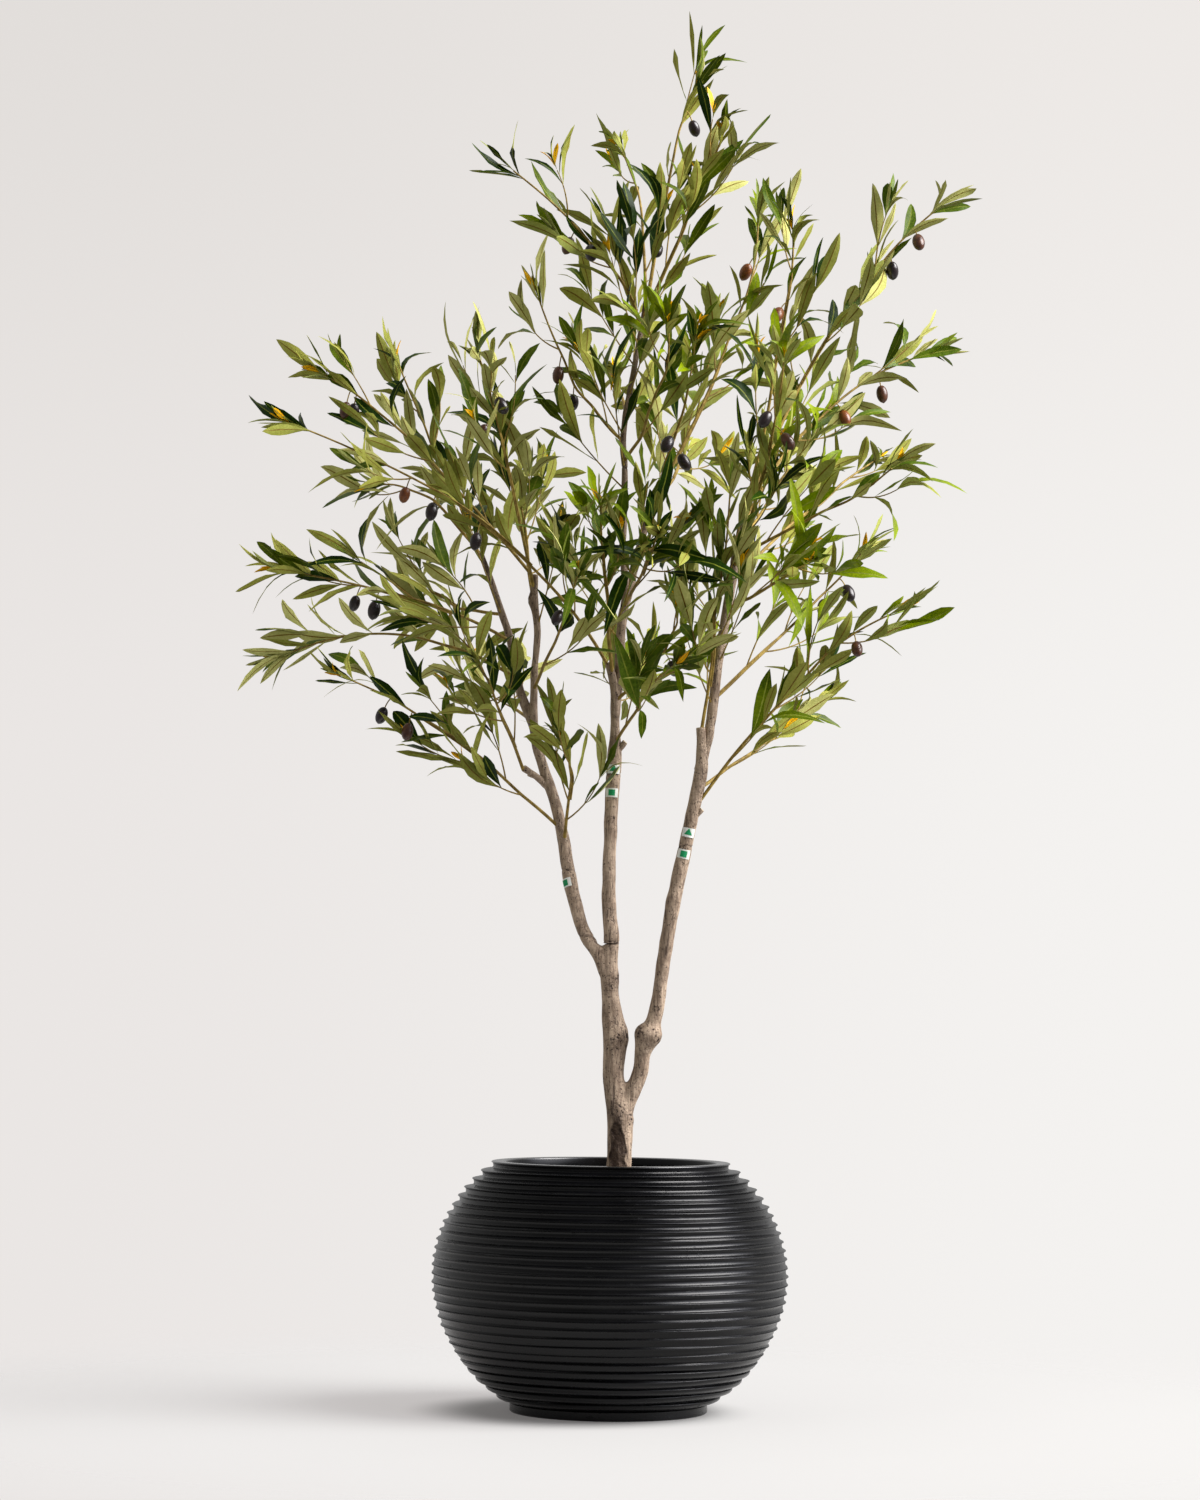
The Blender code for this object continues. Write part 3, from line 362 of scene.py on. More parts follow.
# Sprays and shoots are joined into three groups by the first word of their names.  Each group has its
# words, its slot, how far its leaves turn their upper faces to the back, and its share of tones.
GROUPS = {
    "left": (("left",), "leaf_pale", 0.35, {"deep": 5, "olive": 4, "sage": 6}),
    "middle": (("middle", "centre", "leader", "crown"), "leaf_deep", 0.0,
               {"deep": 4, "olive": 5, "sage": 6, "bright": 3}),
    "right": (("right",), "leaf_mid", 0.1, {"deep": 4, "olive": 3, "bright": 6, "sage": 5}),
}

# Tones of leaves, in display values: dark and light of the upper face, then those of the lower face
TONES = {
    "deep": ((12, 32, 0), (38, 66, 0), (122, 126, 46), (156, 158, 78)),
    "olive": ((46, 64, 0), (95, 111, 0), (136, 138, 50), (172, 172, 86)),
    "sage": ((52, 74, 4), (100, 122, 26), (160, 161, 84), (196, 194, 122)),
    "bright": ((80, 104, 0), (140, 155, 2), (132, 140, 54), (168, 173, 96)),
    "young": ((84, 104, 20), (124, 138, 52), (120, 128, 60), (150, 157, 92)),
    "amber": ((230, 158, 0), (250, 194, 12), (230, 162, 4), (252, 200, 26)),
}
VEIN_COUNT = 13.0
VEIN_SLANT = 8.0

# Stems and the thinner wires bound along them
SEED = 100
SHOOT_SEED = 600
GOLDEN_ANGLE = math.radians(137.5)
TIP_LEAF = 0.06
CUT_OUT = 0.5
CUT_SUNK = 0.002
STEM_RADIUS = 0.0026
STEM_TIP_RADIUS = 0.0012
STEM_POINTS = 30
STEM_SIDES = 7
STEM_WANDER = 0.0022
STEM_KNOTS = 7
STRAND_RADIUS = 0.0012
STRAND_REACH = 0.36
STRAND_GAP = 0.003
STRAND_FIRST = 0.4
SPACING_POINTS = 60
MAIN_TONE = 0.45

# Twigs: where they stand on a stem, their lengths from foot to tip, and their spread in degrees
TWIG_STEP = 0.05
TWIG_FIRST = 0.17
TWIG_LAST = 0.72
TWIG_LONG = 0.12
TWIG_SHORT = 0.06
TWIG_VARIES = (0.8, 1.2)
TWIG_SPREAD = (22, 40)
TWIG_RADIUS = 0.0013
TWIG_TIP_RADIUS = 0.0007
TWIG_AWAY = 0.8
TWIG_AHEAD = 0.2
TWIG_LIFT = 0.06
TWIG_BELLY = 0.52
TWIG_POINTS = 9
TWIG_SIDES = 5
SHOOT_ROOT = 0.8
SHOOT_LIFT = 0.4
SHOOT_SPREAD = 4.0

# Pairs of leaves on a stem, then on a twig
PAIR_STEP = 0.029
PAIR_FIRST = 0.4
PAIR_LAST = 0.97
NODE_STEP = 0.03
NODE_FIRST = 0.38
NODE_LAST = 0.88
NODE_ONLY = 0.675
PAIR_TURNS = (-0.4, 0.4)
PAIR_LARGE = 1.05
PAIR_LESS = 0.25

# Leaves: rows along a leaf and columns across it, which of blade and midrib each strip is, and sizes
LEAF_ROWS = np.array([0.11, 0.27, 0.44, 0.62, 0.8, 0.93])
LEAF_COLUMNS = np.array([-1.0, -0.1, 0.1, 1.0])
LEAF_STRIPS = (0, 1, 0)
LEAF_LENGTH = 0.092
LEAF_WIDTH = 0.0202
LEAF_THICKNESS = 0.0007
MIDRIB_WITHIN = 0.2
MIDRIB_SUNK = 0.0003
MIDRIB_RAISED = 0.0004
OUTLINE_SKEW = 1.28
OUTLINE_POWER = 0.82
STALK_SHARE = 0.04
STALK_WIDTH = 0.0013
LEAF_VARIES = (0.76, 1.12)
LEAF_NARROWS = (0.8, 1.14)
SLENDER_SHARE = 0.14
SLENDER_WIDTH = 0.42
YOUNG_LENGTH = 0.056
YOUNG_WIDTH = 0.0058
AMBER_LENGTH = 0.032
AMBER_WIDTH = 0.0074

# How leaves stand and bend: ranges, and (mean, deviation) pairs of the normal draws
LEAF_SPREAD = (12, 41)
LEAF_LIFT = 0.16
FACING_LEAST = 0.05
FACING_AHEAD = 0.75
FACING_UP = (0.0, 0.55)
FACING_STRAYS = 0.32
FACING_TURNS = 0.75
CURLS = (-0.02, 0.30)
HOOKS = (-0.02, 0.13)
DROOP_ROOTS = (0.0, 0.74)
DROOP_LESS = 0.05
TWISTS = (0, 0.6)
FOLDS = (0.05, 0.40)
SWAYS = (0, 0.12)
RIPPLE = 0.16
RIPPLE_RATE = 14.0
CLEAR_OF_WOOD = 0.004
CLEAR_AT = 0.6

# Leaves round a tip: sizes, spreads in degrees of the first, the others, young and amber ones, and chances
TIP_MORE = 0.4
TIP_STEP = 0.01
TIP_SIZES = (0.60, 0.95)
TIP_WIDTHS = (0.75, 1.0)
TIP_SPREADS = ((2, 10), (10, 30))
YOUNG_SPREAD = (4, 26)
YOUNG_VARIES = (0.75, 1.25)
YOUNG_ROLL = 1.0
YOUNG_TURN = 2.2
YOUNG_CHANCE = 0.5
YOUNG_STEP = 0.008
AMBER_SPREAD = (4, 14)
AMBER_VARIES = (0.8, 1.2)
AMBER_OUT = 0.006
AMBER_CHANCES = (0.16, 0.8)

# Olives
OLIVE_RADIUS = 0.0085
OLIVE_LENGTH = 0.026
OLIVE_RINGS = 10
OLIVE_SIDES = 14
OLIVE_POWER = 0.9
OLIVE_TIP = 1.08
OLIVE_VARIES = (0.9, 1.08)
OLIVE_STALK = 0.018
OLIVE_STALK_RADIUS = 0.0009
OLIVE_STALK_POINTS = 6
OLIVE_STALK_RISE = 0.002
OLIVE_AHEAD = 0.8
OLIVE_DOWN = 0.4
OLIVE_SUNK = 0.001
OLIVE_SWING = 0.8
OLIVE_LEAN = 0.3
RIPE_WEIGHTS = (6, 3, 1)

# The reach that no leaf's tip passes: the model's box and a little more
REACH_MORE = 0.02
REACH_LOW = np.array(CAD_BOX[0]) - REACH_MORE
REACH_HIGH = np.array(CAD_BOX[1]) + REACH_MORE

# Photograph: distance and height of the camera, its aim, and the frame that its focal length was found for
CAMERA_BACK = 5.5
CAMERA_HEIGHT = 0.5814
CAMERA_ASIDE = -0.0223
FRAME_PIXELS = 1500
FOCAL_PIXELS = 3846
SENSOR = 36.0
TILT_PIXELS = 250
ROLL = math.radians(0.65)
FAR_CLIP = 200.0

# Floor: how pale it is and its glow of painted light, the painted shadow round the planter where it glows
# less, and where it turns clear
FLOOR_HALF = 8.0
FLOOR_COLOUR = (0.231, 0.238, 0.230, 1.0)
FLOOR_PAINTED_GLOW = 0.45
FLOOR_GLOW_IN_PAINTED_SHADOW = (0.24, 0.225, 0.224, 1.0)
FLOOR_GLOW_OUTSIDE_PAINTED_SHADOW = (1.0, 0.943, 0.935, 1.0)
FLOOR_PAINTED_SHADOW = (0.14, 0.26)
FLOOR_PAINTED_SHADOW_MIDDLE = (-0.04, 0.0, 0.0)
FLOOR_FADE = (0.62, 1.45)

# Backdrop, in display values from left to right, low and high, and the spans that it blends over
BACKDROP_LOW = ((234, 230, 228), (244, 242, 240))
BACKDROP_HIGH = ((226, 222, 219), (237, 233, 230))
BACKDROP_WIDE = (-0.16, 0.16)
BACKDROP_TALL = (0.05, 0.26)

# Light of the world from the front, the back and a soft patch on the right, and the two lamps
FILL_FRONT = (0.20, 0.197, 0.194, 1.0)
FILL_BACK = (0.50, 0.497, 0.494, 1.0)
FILL_SPAN = (-1.0, 0.4)
FILL_RIGHT = (4.0, 4.05, 4.5, 1.0)
FILL_WAY = (0.80, -0.22, 0.56)
FILL_CONE = (0.78, 0.97)
LAMPS = {
    "key": (560.0, (4.3, -1.0, 4.2), 4.2),
    "side": (22.0, (-2.8, -2.0, 2.2), 2.4),
}
LAMP_COLOUR = (1.0, 0.97, 0.93)
LAMP_AIM = (0.0, 0.0, 0.8)


def unit(vectors):
    """Vectors divided by their lengths."""
    return vectors / np.linalg.norm(vectors, axis=-1, keepdims=True)


def resample(places, known, table):
    """Each column of a table read at new places, straight between the known ones."""
    return np.stack([np.interp(places, known, column) for column in table.T], -1)


def waves(points, size, seed, stretch=1.0):
    """Smooth lumps, nearly all between -1 and 1: 1.8 times the mean of ten sine waves in seeded directions.

    Each wave is sin(k . p + phase), with k a random direction times 2 pi over a length near size, and with
    its upward part divided by stretch.
    """
    chance = np.random.default_rng(seed)
    ways = unit(chance.normal(size=(WAVE_COUNT, 3)))
    ways[:, 2] /= stretch
    rates = ways * (2 * np.pi / (size * chance.uniform(*WAVE_SIZES, (WAVE_COUNT, 1))))
    phases = chance.uniform(0, 2 * np.pi, WAVE_COUNT)
    return np.sin(points @ rates.T + phases).mean(axis=-1) * WAVE_GAIN


def lumps(points, layers):
    """The sum of height * waves over layers of (height, size, seed), with a stretch where one is given."""
    return sum(height * waves(points, *layer) for height, *layer in layers)


def bell(distances, width):
    """exp(-(d / width)^2)."""
    return np.exp(-(distances / width) ** 2)


def spokes(sides, right, back):
    """Directions round each axis at even angles a, on a new axis: cos a * right + sin a * back."""
    angles = 2 * np.pi * np.arange(sides) / sides
    return np.cos(angles)[:, None] * right[..., None, :] + np.sin(angles)[:, None] * back[..., None, :]


def grid_quads(rows, columns, closed):
    """Quads between neighbouring rows of a grid, row by row; closed joins the last column to the first."""
    row = np.arange(rows - 1)[:, None] * columns
    left = np.arange(columns if closed else columns - 1)[None, :]
    right = (left + 1) % columns
    corners = [row + left, row + right, row + columns + right, row + columns + left]
    return np.stack(corners, -1).reshape(-1, 4)


def fan(pole, ring, turned):
    """Triangles from a pole to a closed ring of corners, turned to face the other way where wanted."""
    after = np.roll(ring, -1)
    poles = np.full(len(ring), pole)
    return np.stack([poles, after, ring] if turned else [poles, ring, after], -1)


def ring_faces(rings, sides, turned=False):
    """Quads from ring to ring and a fan at either end, whose poles are the two corners after all rings."""
    count = rings * sides
    quads = grid_quads(rings, sides, True)
    first, last = np.arange(sides), np.arange(count - sides, count)
    fans = [fan(count, first, not turned), fan(count + 1, last, turned)]
    return quads[:, ::-1] if turned else quads, np.vstack(fans)


def copies(faces, count, each):
    """The same faces for each of many lots of corners, which follow one another by so many each."""
    return (faces[None] + (np.arange(count) * each)[:, None, None]).reshape(-1, faces.shape[1])


def make_mesh(points, quads, triangles):
    """A mesh from arrays of corners, quads and triangles."""
    corners = np.concatenate([quads.ravel(), triangles.ravel()]).astype(np.int32)
    starts = np.concatenate([np.arange(len(quads)) * 4, len(quads) * 4 + np.arange(len(triangles)) * 3])
    mesh = bpy.data.meshes.new("piece")
    mesh.vertices.add(len(points))
    mesh.vertices.foreach_set("co", points.astype(np.float32).ravel())
    mesh.loops.add(len(corners))
    mesh.loops.foreach_set("vertex_index", corners)
    mesh.polygons.add(len(starts))
    mesh.polygons.foreach_set("loop_start", starts.astype(np.int32))
    mesh.update(calc_edges=True)
    return mesh


def ring_mesh(rings, poles):
    """Many closed forms in one mesh, from rings[form, ring, corner] and the two poles of each form."""
    count, ring_count, sides = rings.shape[:3]
    points = np.concatenate([rings.reshape(count, -1, 3), poles], axis=1)
    quads, fans = ring_faces(ring_count, sides)
    each = points.shape[1]
    return make_mesh(points.reshape(-1, 3), copies(quads, count, each), copies(fans, count, each))


def turned_mesh(radii, heights, steps, first, last):
    """A form turned round the upright axis, from rows that run down its outside, with two poles."""
    rings = radii[..., None] * spokes(steps, RIGHT, BACK) + heights[..., None] * UP
    points = np.vstack([rings.reshape(-1, 3), [UP * first, UP * last]])
    return make_mesh(points, *ring_faces(len(rings), steps, turned=True))


def tube_mesh(paths, radii, sides):
    """Closed tubes along many paths of as many points each.

    A corner is its path point + radius * (cos a * u + sin a * v), with u and v square to the path, and
    each end closes in a pole.
    """
    paths, radii = np.asarray(paths), np.asarray(radii)
    ahead = unit(np.gradient(paths, axis=1))
    across = unit(np.cross(guides(paths[:, -1] - paths[:, 0])[:, None], ahead))
    above = np.cross(ahead, across)
    rings = paths[:, :, None] + radii[:, :, None, None] * spokes(sides, across, above)
    return ring_mesh(rings, paths[:, [0, -1]])


def guides(ways):
    """For each way a direction that isn't along it: up, or to the right where the way is nearly upright."""
    return np.where(np.abs(unit(ways)[:, 2:]) > UPRIGHT, RIGHT, UP)


def read(items, key, width, kind=float):
    """One property of all items of a mesh, as rows of so many numbers."""
    values = np.empty(len(items) * width, kind)
    items.foreach_get(key, values)
    return values.reshape(-1, width)


def move_corners(mesh, points):
    """Give the corners of a mesh new places."""
    mesh.vertices.foreach_set("co", points.astype(np.float32).ravel())
    mesh.update()


def show(name, data):
    """A new object of the scene, with its mesh, lamp or lens."""
    thing = bpy.data.objects.new(name, data)
    bpy.context.scene.collection.objects.link(thing)
    return thing


def add_piece(name, mesh, materials, replaced=(), sharp=40):
    """Put a finished mesh in the scene as a piece that rides on the one body."""
    mesh.name = name
    mesh.shade_smooth()
    mesh.set_sharp_from_angle(angle=math.radians(sharp))
    for surface in materials:
        mesh.materials.append(surface)
    thing = show(name, mesh)
    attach(thing, "root")
    if replaced:
        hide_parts(*replaced)


class Wire:
    """A shader socket.  Operators on it add Math nodes, so that 1 - mask and mask * 0.5 read as written."""

    def __init__(self, nodes, socket):
        self.nodes = nodes
        self.socket = socket

    def __add__(self, other):
        return self.nodes.math("ADD", self, other)

    def __sub__(self, other):
        return self.nodes.math("SUBTRACT", self, other)

    def __rsub__(self, other):
        return self.nodes.math("SUBTRACT", other, self)

    def __mul__(self, other):
        return self.nodes.math("MULTIPLY", self, other)

    __radd__ = __add__
    __rmul__ = __mul__

    def step(self, low, high):
        """0 at low, 1 at high and a smooth step between them."""
        sockets = {"Value": self, "From Min": low, "From Max": high}
        return self.nodes.node("ShaderNodeMapRange", {"interpolation_type": "SMOOTHSTEP"}, sockets)


class Nodes:
    """A node tree of a material or of the world."""

    def __init__(self, tree):
        self.tree = tree

    def plug(self, node, socket, value):
        """Link a wire to a socket of a node, or set the socket's own value."""
        if isinstance(value, Wire):
            self.tree.links.new(value.socket, node.inputs[socket])
        else:
            node.inputs[socket].default_value = value

    def node(self, kind, settings=None, sockets=None, output=0):
        """Any node: its settings first, then the values or links of its sockets.  Gives one output."""
        node = self.tree.nodes.new(kind)
        for key, value in (settings or {}).items():
            setattr(node, key, value)
        for key, value in (sockets or {}).items():
            self.plug(node, key, value)
        return Wire(self, node.outputs[output])

    def math(self, operation, *values):
        """A Math node over numbers or wires."""
        return self.node("ShaderNodeMath", {"operation": operation}, dict(enumerate(values)))

    def vector(self, operation, *values, output="Vector"):
        """A Vector Math node over vectors or wires."""
        return self.node("ShaderNodeVectorMath", {"operation": operation}, dict(enumerate(values)), output)

    def part(self, vector, axis):
        """One of a vector's three numbers."""
        return self.node("ShaderNodeSeparateXYZ", None, {0: vector}, output=axis)

    def mix(self, share, low, high):
        """A colour between two colours or wires."""
        return self.node("ShaderNodeMix", {"data_type": "RGBA"}, {0: share, 6: low, 7: high}, output=2)


class Paint(Nodes):
    """One Principled material, with its constants on its own sockets."""

    def __init__(self, name, level):
        self.material = bpy.data.materials.new(name)
        self.material.use_nodes = True
        super().__init__(self.material.node_tree)
        self.surface = self.tree.nodes["Principled BSDF"]
        self.feed("Specular IOR Level", level)

    def feed(self, socket, value):
        """Link a wire to a socket of the surface, or set the socket's own value."""
        self.plug(self.surface, socket, value)

    def place(self, scale=(1.0, 1.0, 1.0)):
        """Object coordinates, scaled on each axis."""
        where = self.node("ShaderNodeTexCoord", output="Object")
        return self.node("ShaderNodeMapping", None, {"Vector": where, "Scale": scale})

    def noise(self, where, scale, detail=3.0, roughness=0.55):
        """Fractal noise between 0 and 1."""
        sockets = {"Vector": where, "Scale": scale, "Detail": detail, "Roughness": roughness}
        return self.node("ShaderNodeTexNoise", None, sockets)

    def warp(self, where, scale, reach):
        """Coordinates plus reach times a noise of three numbers between 0 and 1, so that they wander."""
        wander = self.node("ShaderNodeTexNoise", None, {"Vector": where, "Scale": scale}, output="Color")
        return self.vector("MULTIPLY_ADD", wander, (reach, reach, reach), where)

    def cells(self, where, stretch, count):
        """The distance to the nearest of scattered points, as a share of their spacing."""
        sockets = {"Vector": self.vector("MULTIPLY", where, stretch), "Scale": count}
        return self.node("ShaderNodeTexVoronoi", None, sockets, output="Distance")

    def attribute(self, name):
        """A number that the mesh carries at its corners."""
        return self.node("ShaderNodeAttribute", {"attribute_name": name}, output="Fac")

    def bump(self, height, distance, strength=1.0):
        """Feed a height to the surface's Normal through a Bump node."""
        sockets = {"Height": height, "Distance": distance, "Strength": strength}
        self.feed("Normal", self.node("ShaderNodeBump", None, sockets))


def colour(red, green, blue):
    """A colour of 0 to 255 display values as linear light."""
    shares = np.array([red, green, blue]) / 255.0
    linear = np.where(shares <= 0.04045, shares / 12.92, ((shares + 0.055) / 1.055) ** 2.4)
    return (*linear.tolist(), 1.0)


def resin_paint():
    """Near-black moulded resin: satin, with faint clouding, fine lines round the ribs and a glossier rim."""
    paint = Paint("planter_resin", 0.20)
    paint.feed("Coat Roughness", 0.22)
    where = paint.place()
    clouds = paint.noise(where, 14.0, 4.0)
    height = paint.part(where, 2)
    lines = paint.noise(paint.place((1.0, 1.0, 60.0)), 9.0)
    nicks = paint.noise(paint.place((1.0, 1.0, 4.0)), 60.0, 4.0).step(0.62, 0.70)
    paint.feed("Base Color", paint.mix(clouds.step(0.35, 0.7), colour(4, 4, 5), colour(9, 9, 11)))
    paint.feed("Roughness", clouds * 0.12 + lines * 0.10 + nicks * 0.15 + 0.16)
    rim = height.step(PLANTER_HEIGHT - 0.003, PLANTER_HEIGHT - 0.001)
    paint.feed("Coat Weight", height.step(0.03, 0.22) * 0.13 + rim * 0.6)
    paint.bump(lines * 0.35 - nicks * 0.5, 0.0004, 0.5)
    return paint.material


def filler_paint():
    """Dark crumbled bark."""
    paint = Paint("filler_crumb", 0.2)
    grain = paint.noise(paint.place(), 120.0, 6.0, 0.7)
    paint.feed("Base Color", paint.mix(grain.step(0.35, 0.7), colour(28, 22, 17), colour(62, 48, 36)))
    paint.feed("Roughness", 0.75 + grain * 0.25)
    paint.bump(grain, 0.003)
    return paint.material


def bark_paint():
    """Taupe bark: clouds and fibres of two browns, with dark pits, specks, cracks and stains, and bare cuts.

    The dark share is the largest of pits, specks and cracks, or the stain where that is larger.  The bare
    patch is darker, and painted shade darkens the bark round knots, on the trunk's foot and up in the crown.
    """
    paint = Paint("bark", 0.25)
    where = paint.place()
    clouds = paint.noise(where, 46.0, 4.0)
    fibres = paint.noise(paint.place((1.0, 1.0, 0.10)), 330.0, 4.0, 0.6)
    grain = clouds.step(0.34, 0.66) * 0.45 + fibres.step(0.35, 0.65) * 0.55
    tan = paint.mix(grain, colour(120, 101, 84), colour(188, 166, 143))
    # The bare patch's own darker bark, together with painted shade round knots and on the trunk's foot
    patch_and_shade = paint.attribute("patch_and_shade") * (0.45 + 0.9 * paint.noise(where, 90.0, 4.0))
    patched_and_shaded = paint.mix(patch_and_shade, tan, colour(76, 60, 48))
    # Painted shade of the crown: the bark turns darker and browner above 0.95 m, up among the leaves
    crown_shaded = paint.mix(paint.part(where, 2).step(0.95, 1.35) * 0.75, patched_and_shaded, colour(86, 70, 52))
    field = paint.noise(where, 75.0).step(0.34, 0.60)
    spots = paint.cells(paint.warp(where, 340.0, 0.0042), (1.0, 1.0, 0.60), 330.0)
    pits = 1.0 - (spots - field * 0.13).step(0.03, 0.16)
    cracks = paint.noise(paint.place((1.0, 1.0, 0.13)), 240.0).step(0.62, 0.68)
    specks = paint.noise(where, 560.0, 2.0).step(0.60, 0.72)
    flecks = paint.math("MAXIMUM", cracks * 0.7, paint.math("MAXIMUM", pits, specks * 0.75))
    stain = paint.attribute("stain") * (0.20 + 1.5 * paint.noise(where, 190.0, 4.0).step(0.40, 0.64))
    dark = paint.math("MAXIMUM", flecks * 0.95, paint.math("MINIMUM", stain, 1.0))
    flecked = paint.mix(dark, crown_shaded, colour(42, 27, 24))
    paint.feed("Base Color", paint.mix(paint.attribute("bare"), flecked, colour(196, 180, 150)))
    paint.feed("Roughness", 0.60 + clouds * 0.2)
    paint.bump(fibres * 0.5 + paint.noise(where, 95.0) * 0.9 - dark * 0.7, 0.0024, 0.9)
    return paint.material


def leaf_paint(name, dark, light, roughness, veins, level):
    """A printed leaf face: fine mottling between two colours, and side veins that slant from the midrib.

    With u across and v along the leaf, a vein lies where VEIN_COUNT * v - VEIN_SLANT * |u - 1/2| is whole.
    """
    paint = Paint(name, level)
    where = paint.place()
    mottle = paint.noise(where, 300.0, 3.0, 0.6)
    clouds = paint.noise(where, 26.0, 2.0)
    place = paint.node("ShaderNodeTexCoord", output="UV")
    aside = paint.math("ABSOLUTE", paint.part(place, 0) - 0.5)
    line = paint.part(place, 1) * VEIN_COUNT - aside * VEIN_SLANT
    vein = (1.0 - paint.math("PINGPONG", line, 0.5).step(0.0, 0.16)) * veins
    share = mottle.step(0.3, 0.7) * 0.45 + clouds.step(0.3, 0.7) * 0.45 + vein
    paint.feed("Base Color", paint.mix(share, colour(*dark), colour(*light)))
    paint.feed("Roughness", roughness + mottle * 0.15)
    paint.bump(mottle, 0.0003, 0.15)
    return paint.material


def plain_paint(name, low, high, size, roughness, level=0.3):
    """A finish of two close colours in fine clouds of a given size, with as fine a relief."""
    paint = Paint(name, level)
    clouds = paint.noise(paint.place(), 1.0 / size, 4.0)
    paint.feed("Base Color", paint.mix(clouds.step(0.3, 0.7), colour(*low), colour(*high)))
    paint.feed("Roughness", roughness + clouds * 0.12)
    paint.bump(clouds, 0.0004, 0.5)
    return paint.material


def leaf_paints():
    """For each tone the materials of upper blade, upper midrib, lower blade and lower midrib."""
    rib_top = plain_paint("rib_upper", (100, 112, 28), (128, 136, 46), 0.004, 0.5, 0.15)
    rib_under = plain_paint("rib_lower", (96, 78, 22), (126, 104, 38), 0.004, 0.55, 0.10)
    paints = []
    for tone, (top_dark, top_light, under_dark, under_light) in TONES.items():
        top = leaf_paint(f"leaf_upper_{tone}", top_dark, top_light, 0.30, 0.12, 0.11)
        under = leaf_paint(f"leaf_lower_{tone}", under_dark, under_light, 0.60, 0.0, 0.06)
        paints += [top, rib_top, under, rib_under]
    return paints


def smooth_run(lead, low=0.0, high=ABOVE_ALL):
    """A lead between two heights as a fine run of (x, y, z, radius).

    Catmull-Rom through the stations, many points to each stretch, then taken again at even steps of length.
    """
    stations = np.array(LEADS[lead])
    padded = np.vstack([2 * stations[0] - stations[1], stations, 2 * stations[-1] - stations[-2]])
    a, b, c, d = padded[:-3, None], padded[1:-2, None], padded[2:-1, None], padded[3:, None]
    t = np.linspace(0, 1, RUN_POINTS, endpoint=False)[None, :, None]
    dense = 0.5 * (2 * b + (c - a) * t + (2 * a - 5 * b + 4 * c - d) * t ** 2
                   + (3 * b - a - 3 * c + d) * t ** 3)
    dense = np.vstack([dense.reshape(-1, 4), stations[-1]])
    dense = dense[(dense[:, 2] >= low) & (dense[:, 2] <= high)]
    length = np.concatenate([[0.0], np.cumsum(np.linalg.norm(np.diff(dense[:, :3], axis=0), axis=1))])
    even = np.linspace(0, length[-1], max(6, round(length[-1] / RING_STEP)))
    return resample(even, length, dense)


def lead_point(lead, height):
    """The middle of a lead at a height and its radius there, or its cut top where the height is above it."""
    run = smooth_run(lead)
    return resample(height, run[:, 2], run)


def side_way(side, rise=0.0):
    """A direction from a side in degrees round the wood and a rise in degrees above the level."""
    side, rise = math.radians(side), math.radians(rise)
    return np.array([math.cos(side) * math.cos(rise), math.sin(side) * math.cos(rise), math.sin(rise)])


def ring_frames(path):
    """The direction along a path and two square to it, the first as near to the right as can be."""
    ahead = unit(np.gradient(path, axis=0))
    back = unit(np.cross(ahead, RIGHT))
    return ahead, np.cross(back, ahead), back


def limb_shell(run, sides, cut_top=True):
    """Corners, faces and bareness of a closed limb.

    A ring's corner is its centre + radius * (cos a * right + sin a * back).  A cut top steps in over a
    rounded rim to a slightly dished face, and both ends close in a pole.
    """
    ahead, right, back = ring_frames(run[:, :3])
    ways = spokes(sides, right, back)
    rings = run[:, None, :3] + run[:, None, 3:] * ways
    bare = np.zeros(rings.shape[:2])
    for lift, share, pale in CUT_RINGS if cut_top else ():
        ring = run[-1, :3] + ahead[-1] * lift + ways[-1] * run[-1, 3] * share
        rings = np.concatenate([rings, ring[None]])
        bare = np.concatenate([bare, np.full((1, sides), pale)])
    points = np.vstack([rings.reshape(-1, 3), rings[0].mean(axis=0), rings[-1].mean(axis=0)])
    return points, *ring_faces(len(rings), sides), np.append(bare.ravel(), [0.0, bare[-1, 0]])


def join_shells(shells):
    """Several shells of corners, quads, triangles and bareness as one mesh, and its bareness."""
    points, quads, triangles, bare = zip(*shells)
    starts = np.cumsum([0] + [len(corners) for corners in points])
    quads = np.vstack([faces + start for faces, start in zip(quads, starts)])
    triangles = np.vstack([faces + start for faces, start in zip(triangles, starts)])
    return make_mesh(np.vstack(points), quads, triangles), np.concatenate(bare)


def knot_relief(points, lead, height, side, raised, size):
    """The lift, stain and painted shade of one knot, the shade a soft dark halo round it.

    It lifts the bark by raised * exp(-d^2 / 2 size^2) at a distance d from its middle, less in a small
    dimple. Its stain is a broken dark rim near d = size and a dark heart.
    """
    middle = lead_point(lead, height)
    gap = np.linalg.norm(points - (middle[:3] + side_way(side) * middle[3]), axis=1)
    lift = raised * np.exp(-gap ** 2 / (2 * size ** 2)) * (1 - 0.35 * bell(gap, 0.4 * size))
    ragged = gap * (1 + 0.55 * waves(points, 0.7 * size, RAGGED_SEED))
    rim = bell(ragged - 0.85 * size, 0.26 * size) + 0.6 * bell(ragged, 0.3 * size)
    broken = np.clip(1.5 * waves(points, 0.6 * size, BROKEN_SEED) + 0.6, 0, 1)
    # The third share is painted shade: a soft dark halo round the knot
    return lift, 0.95 * rim * broken, 0.30 * bell(gap, 1.2 * size)


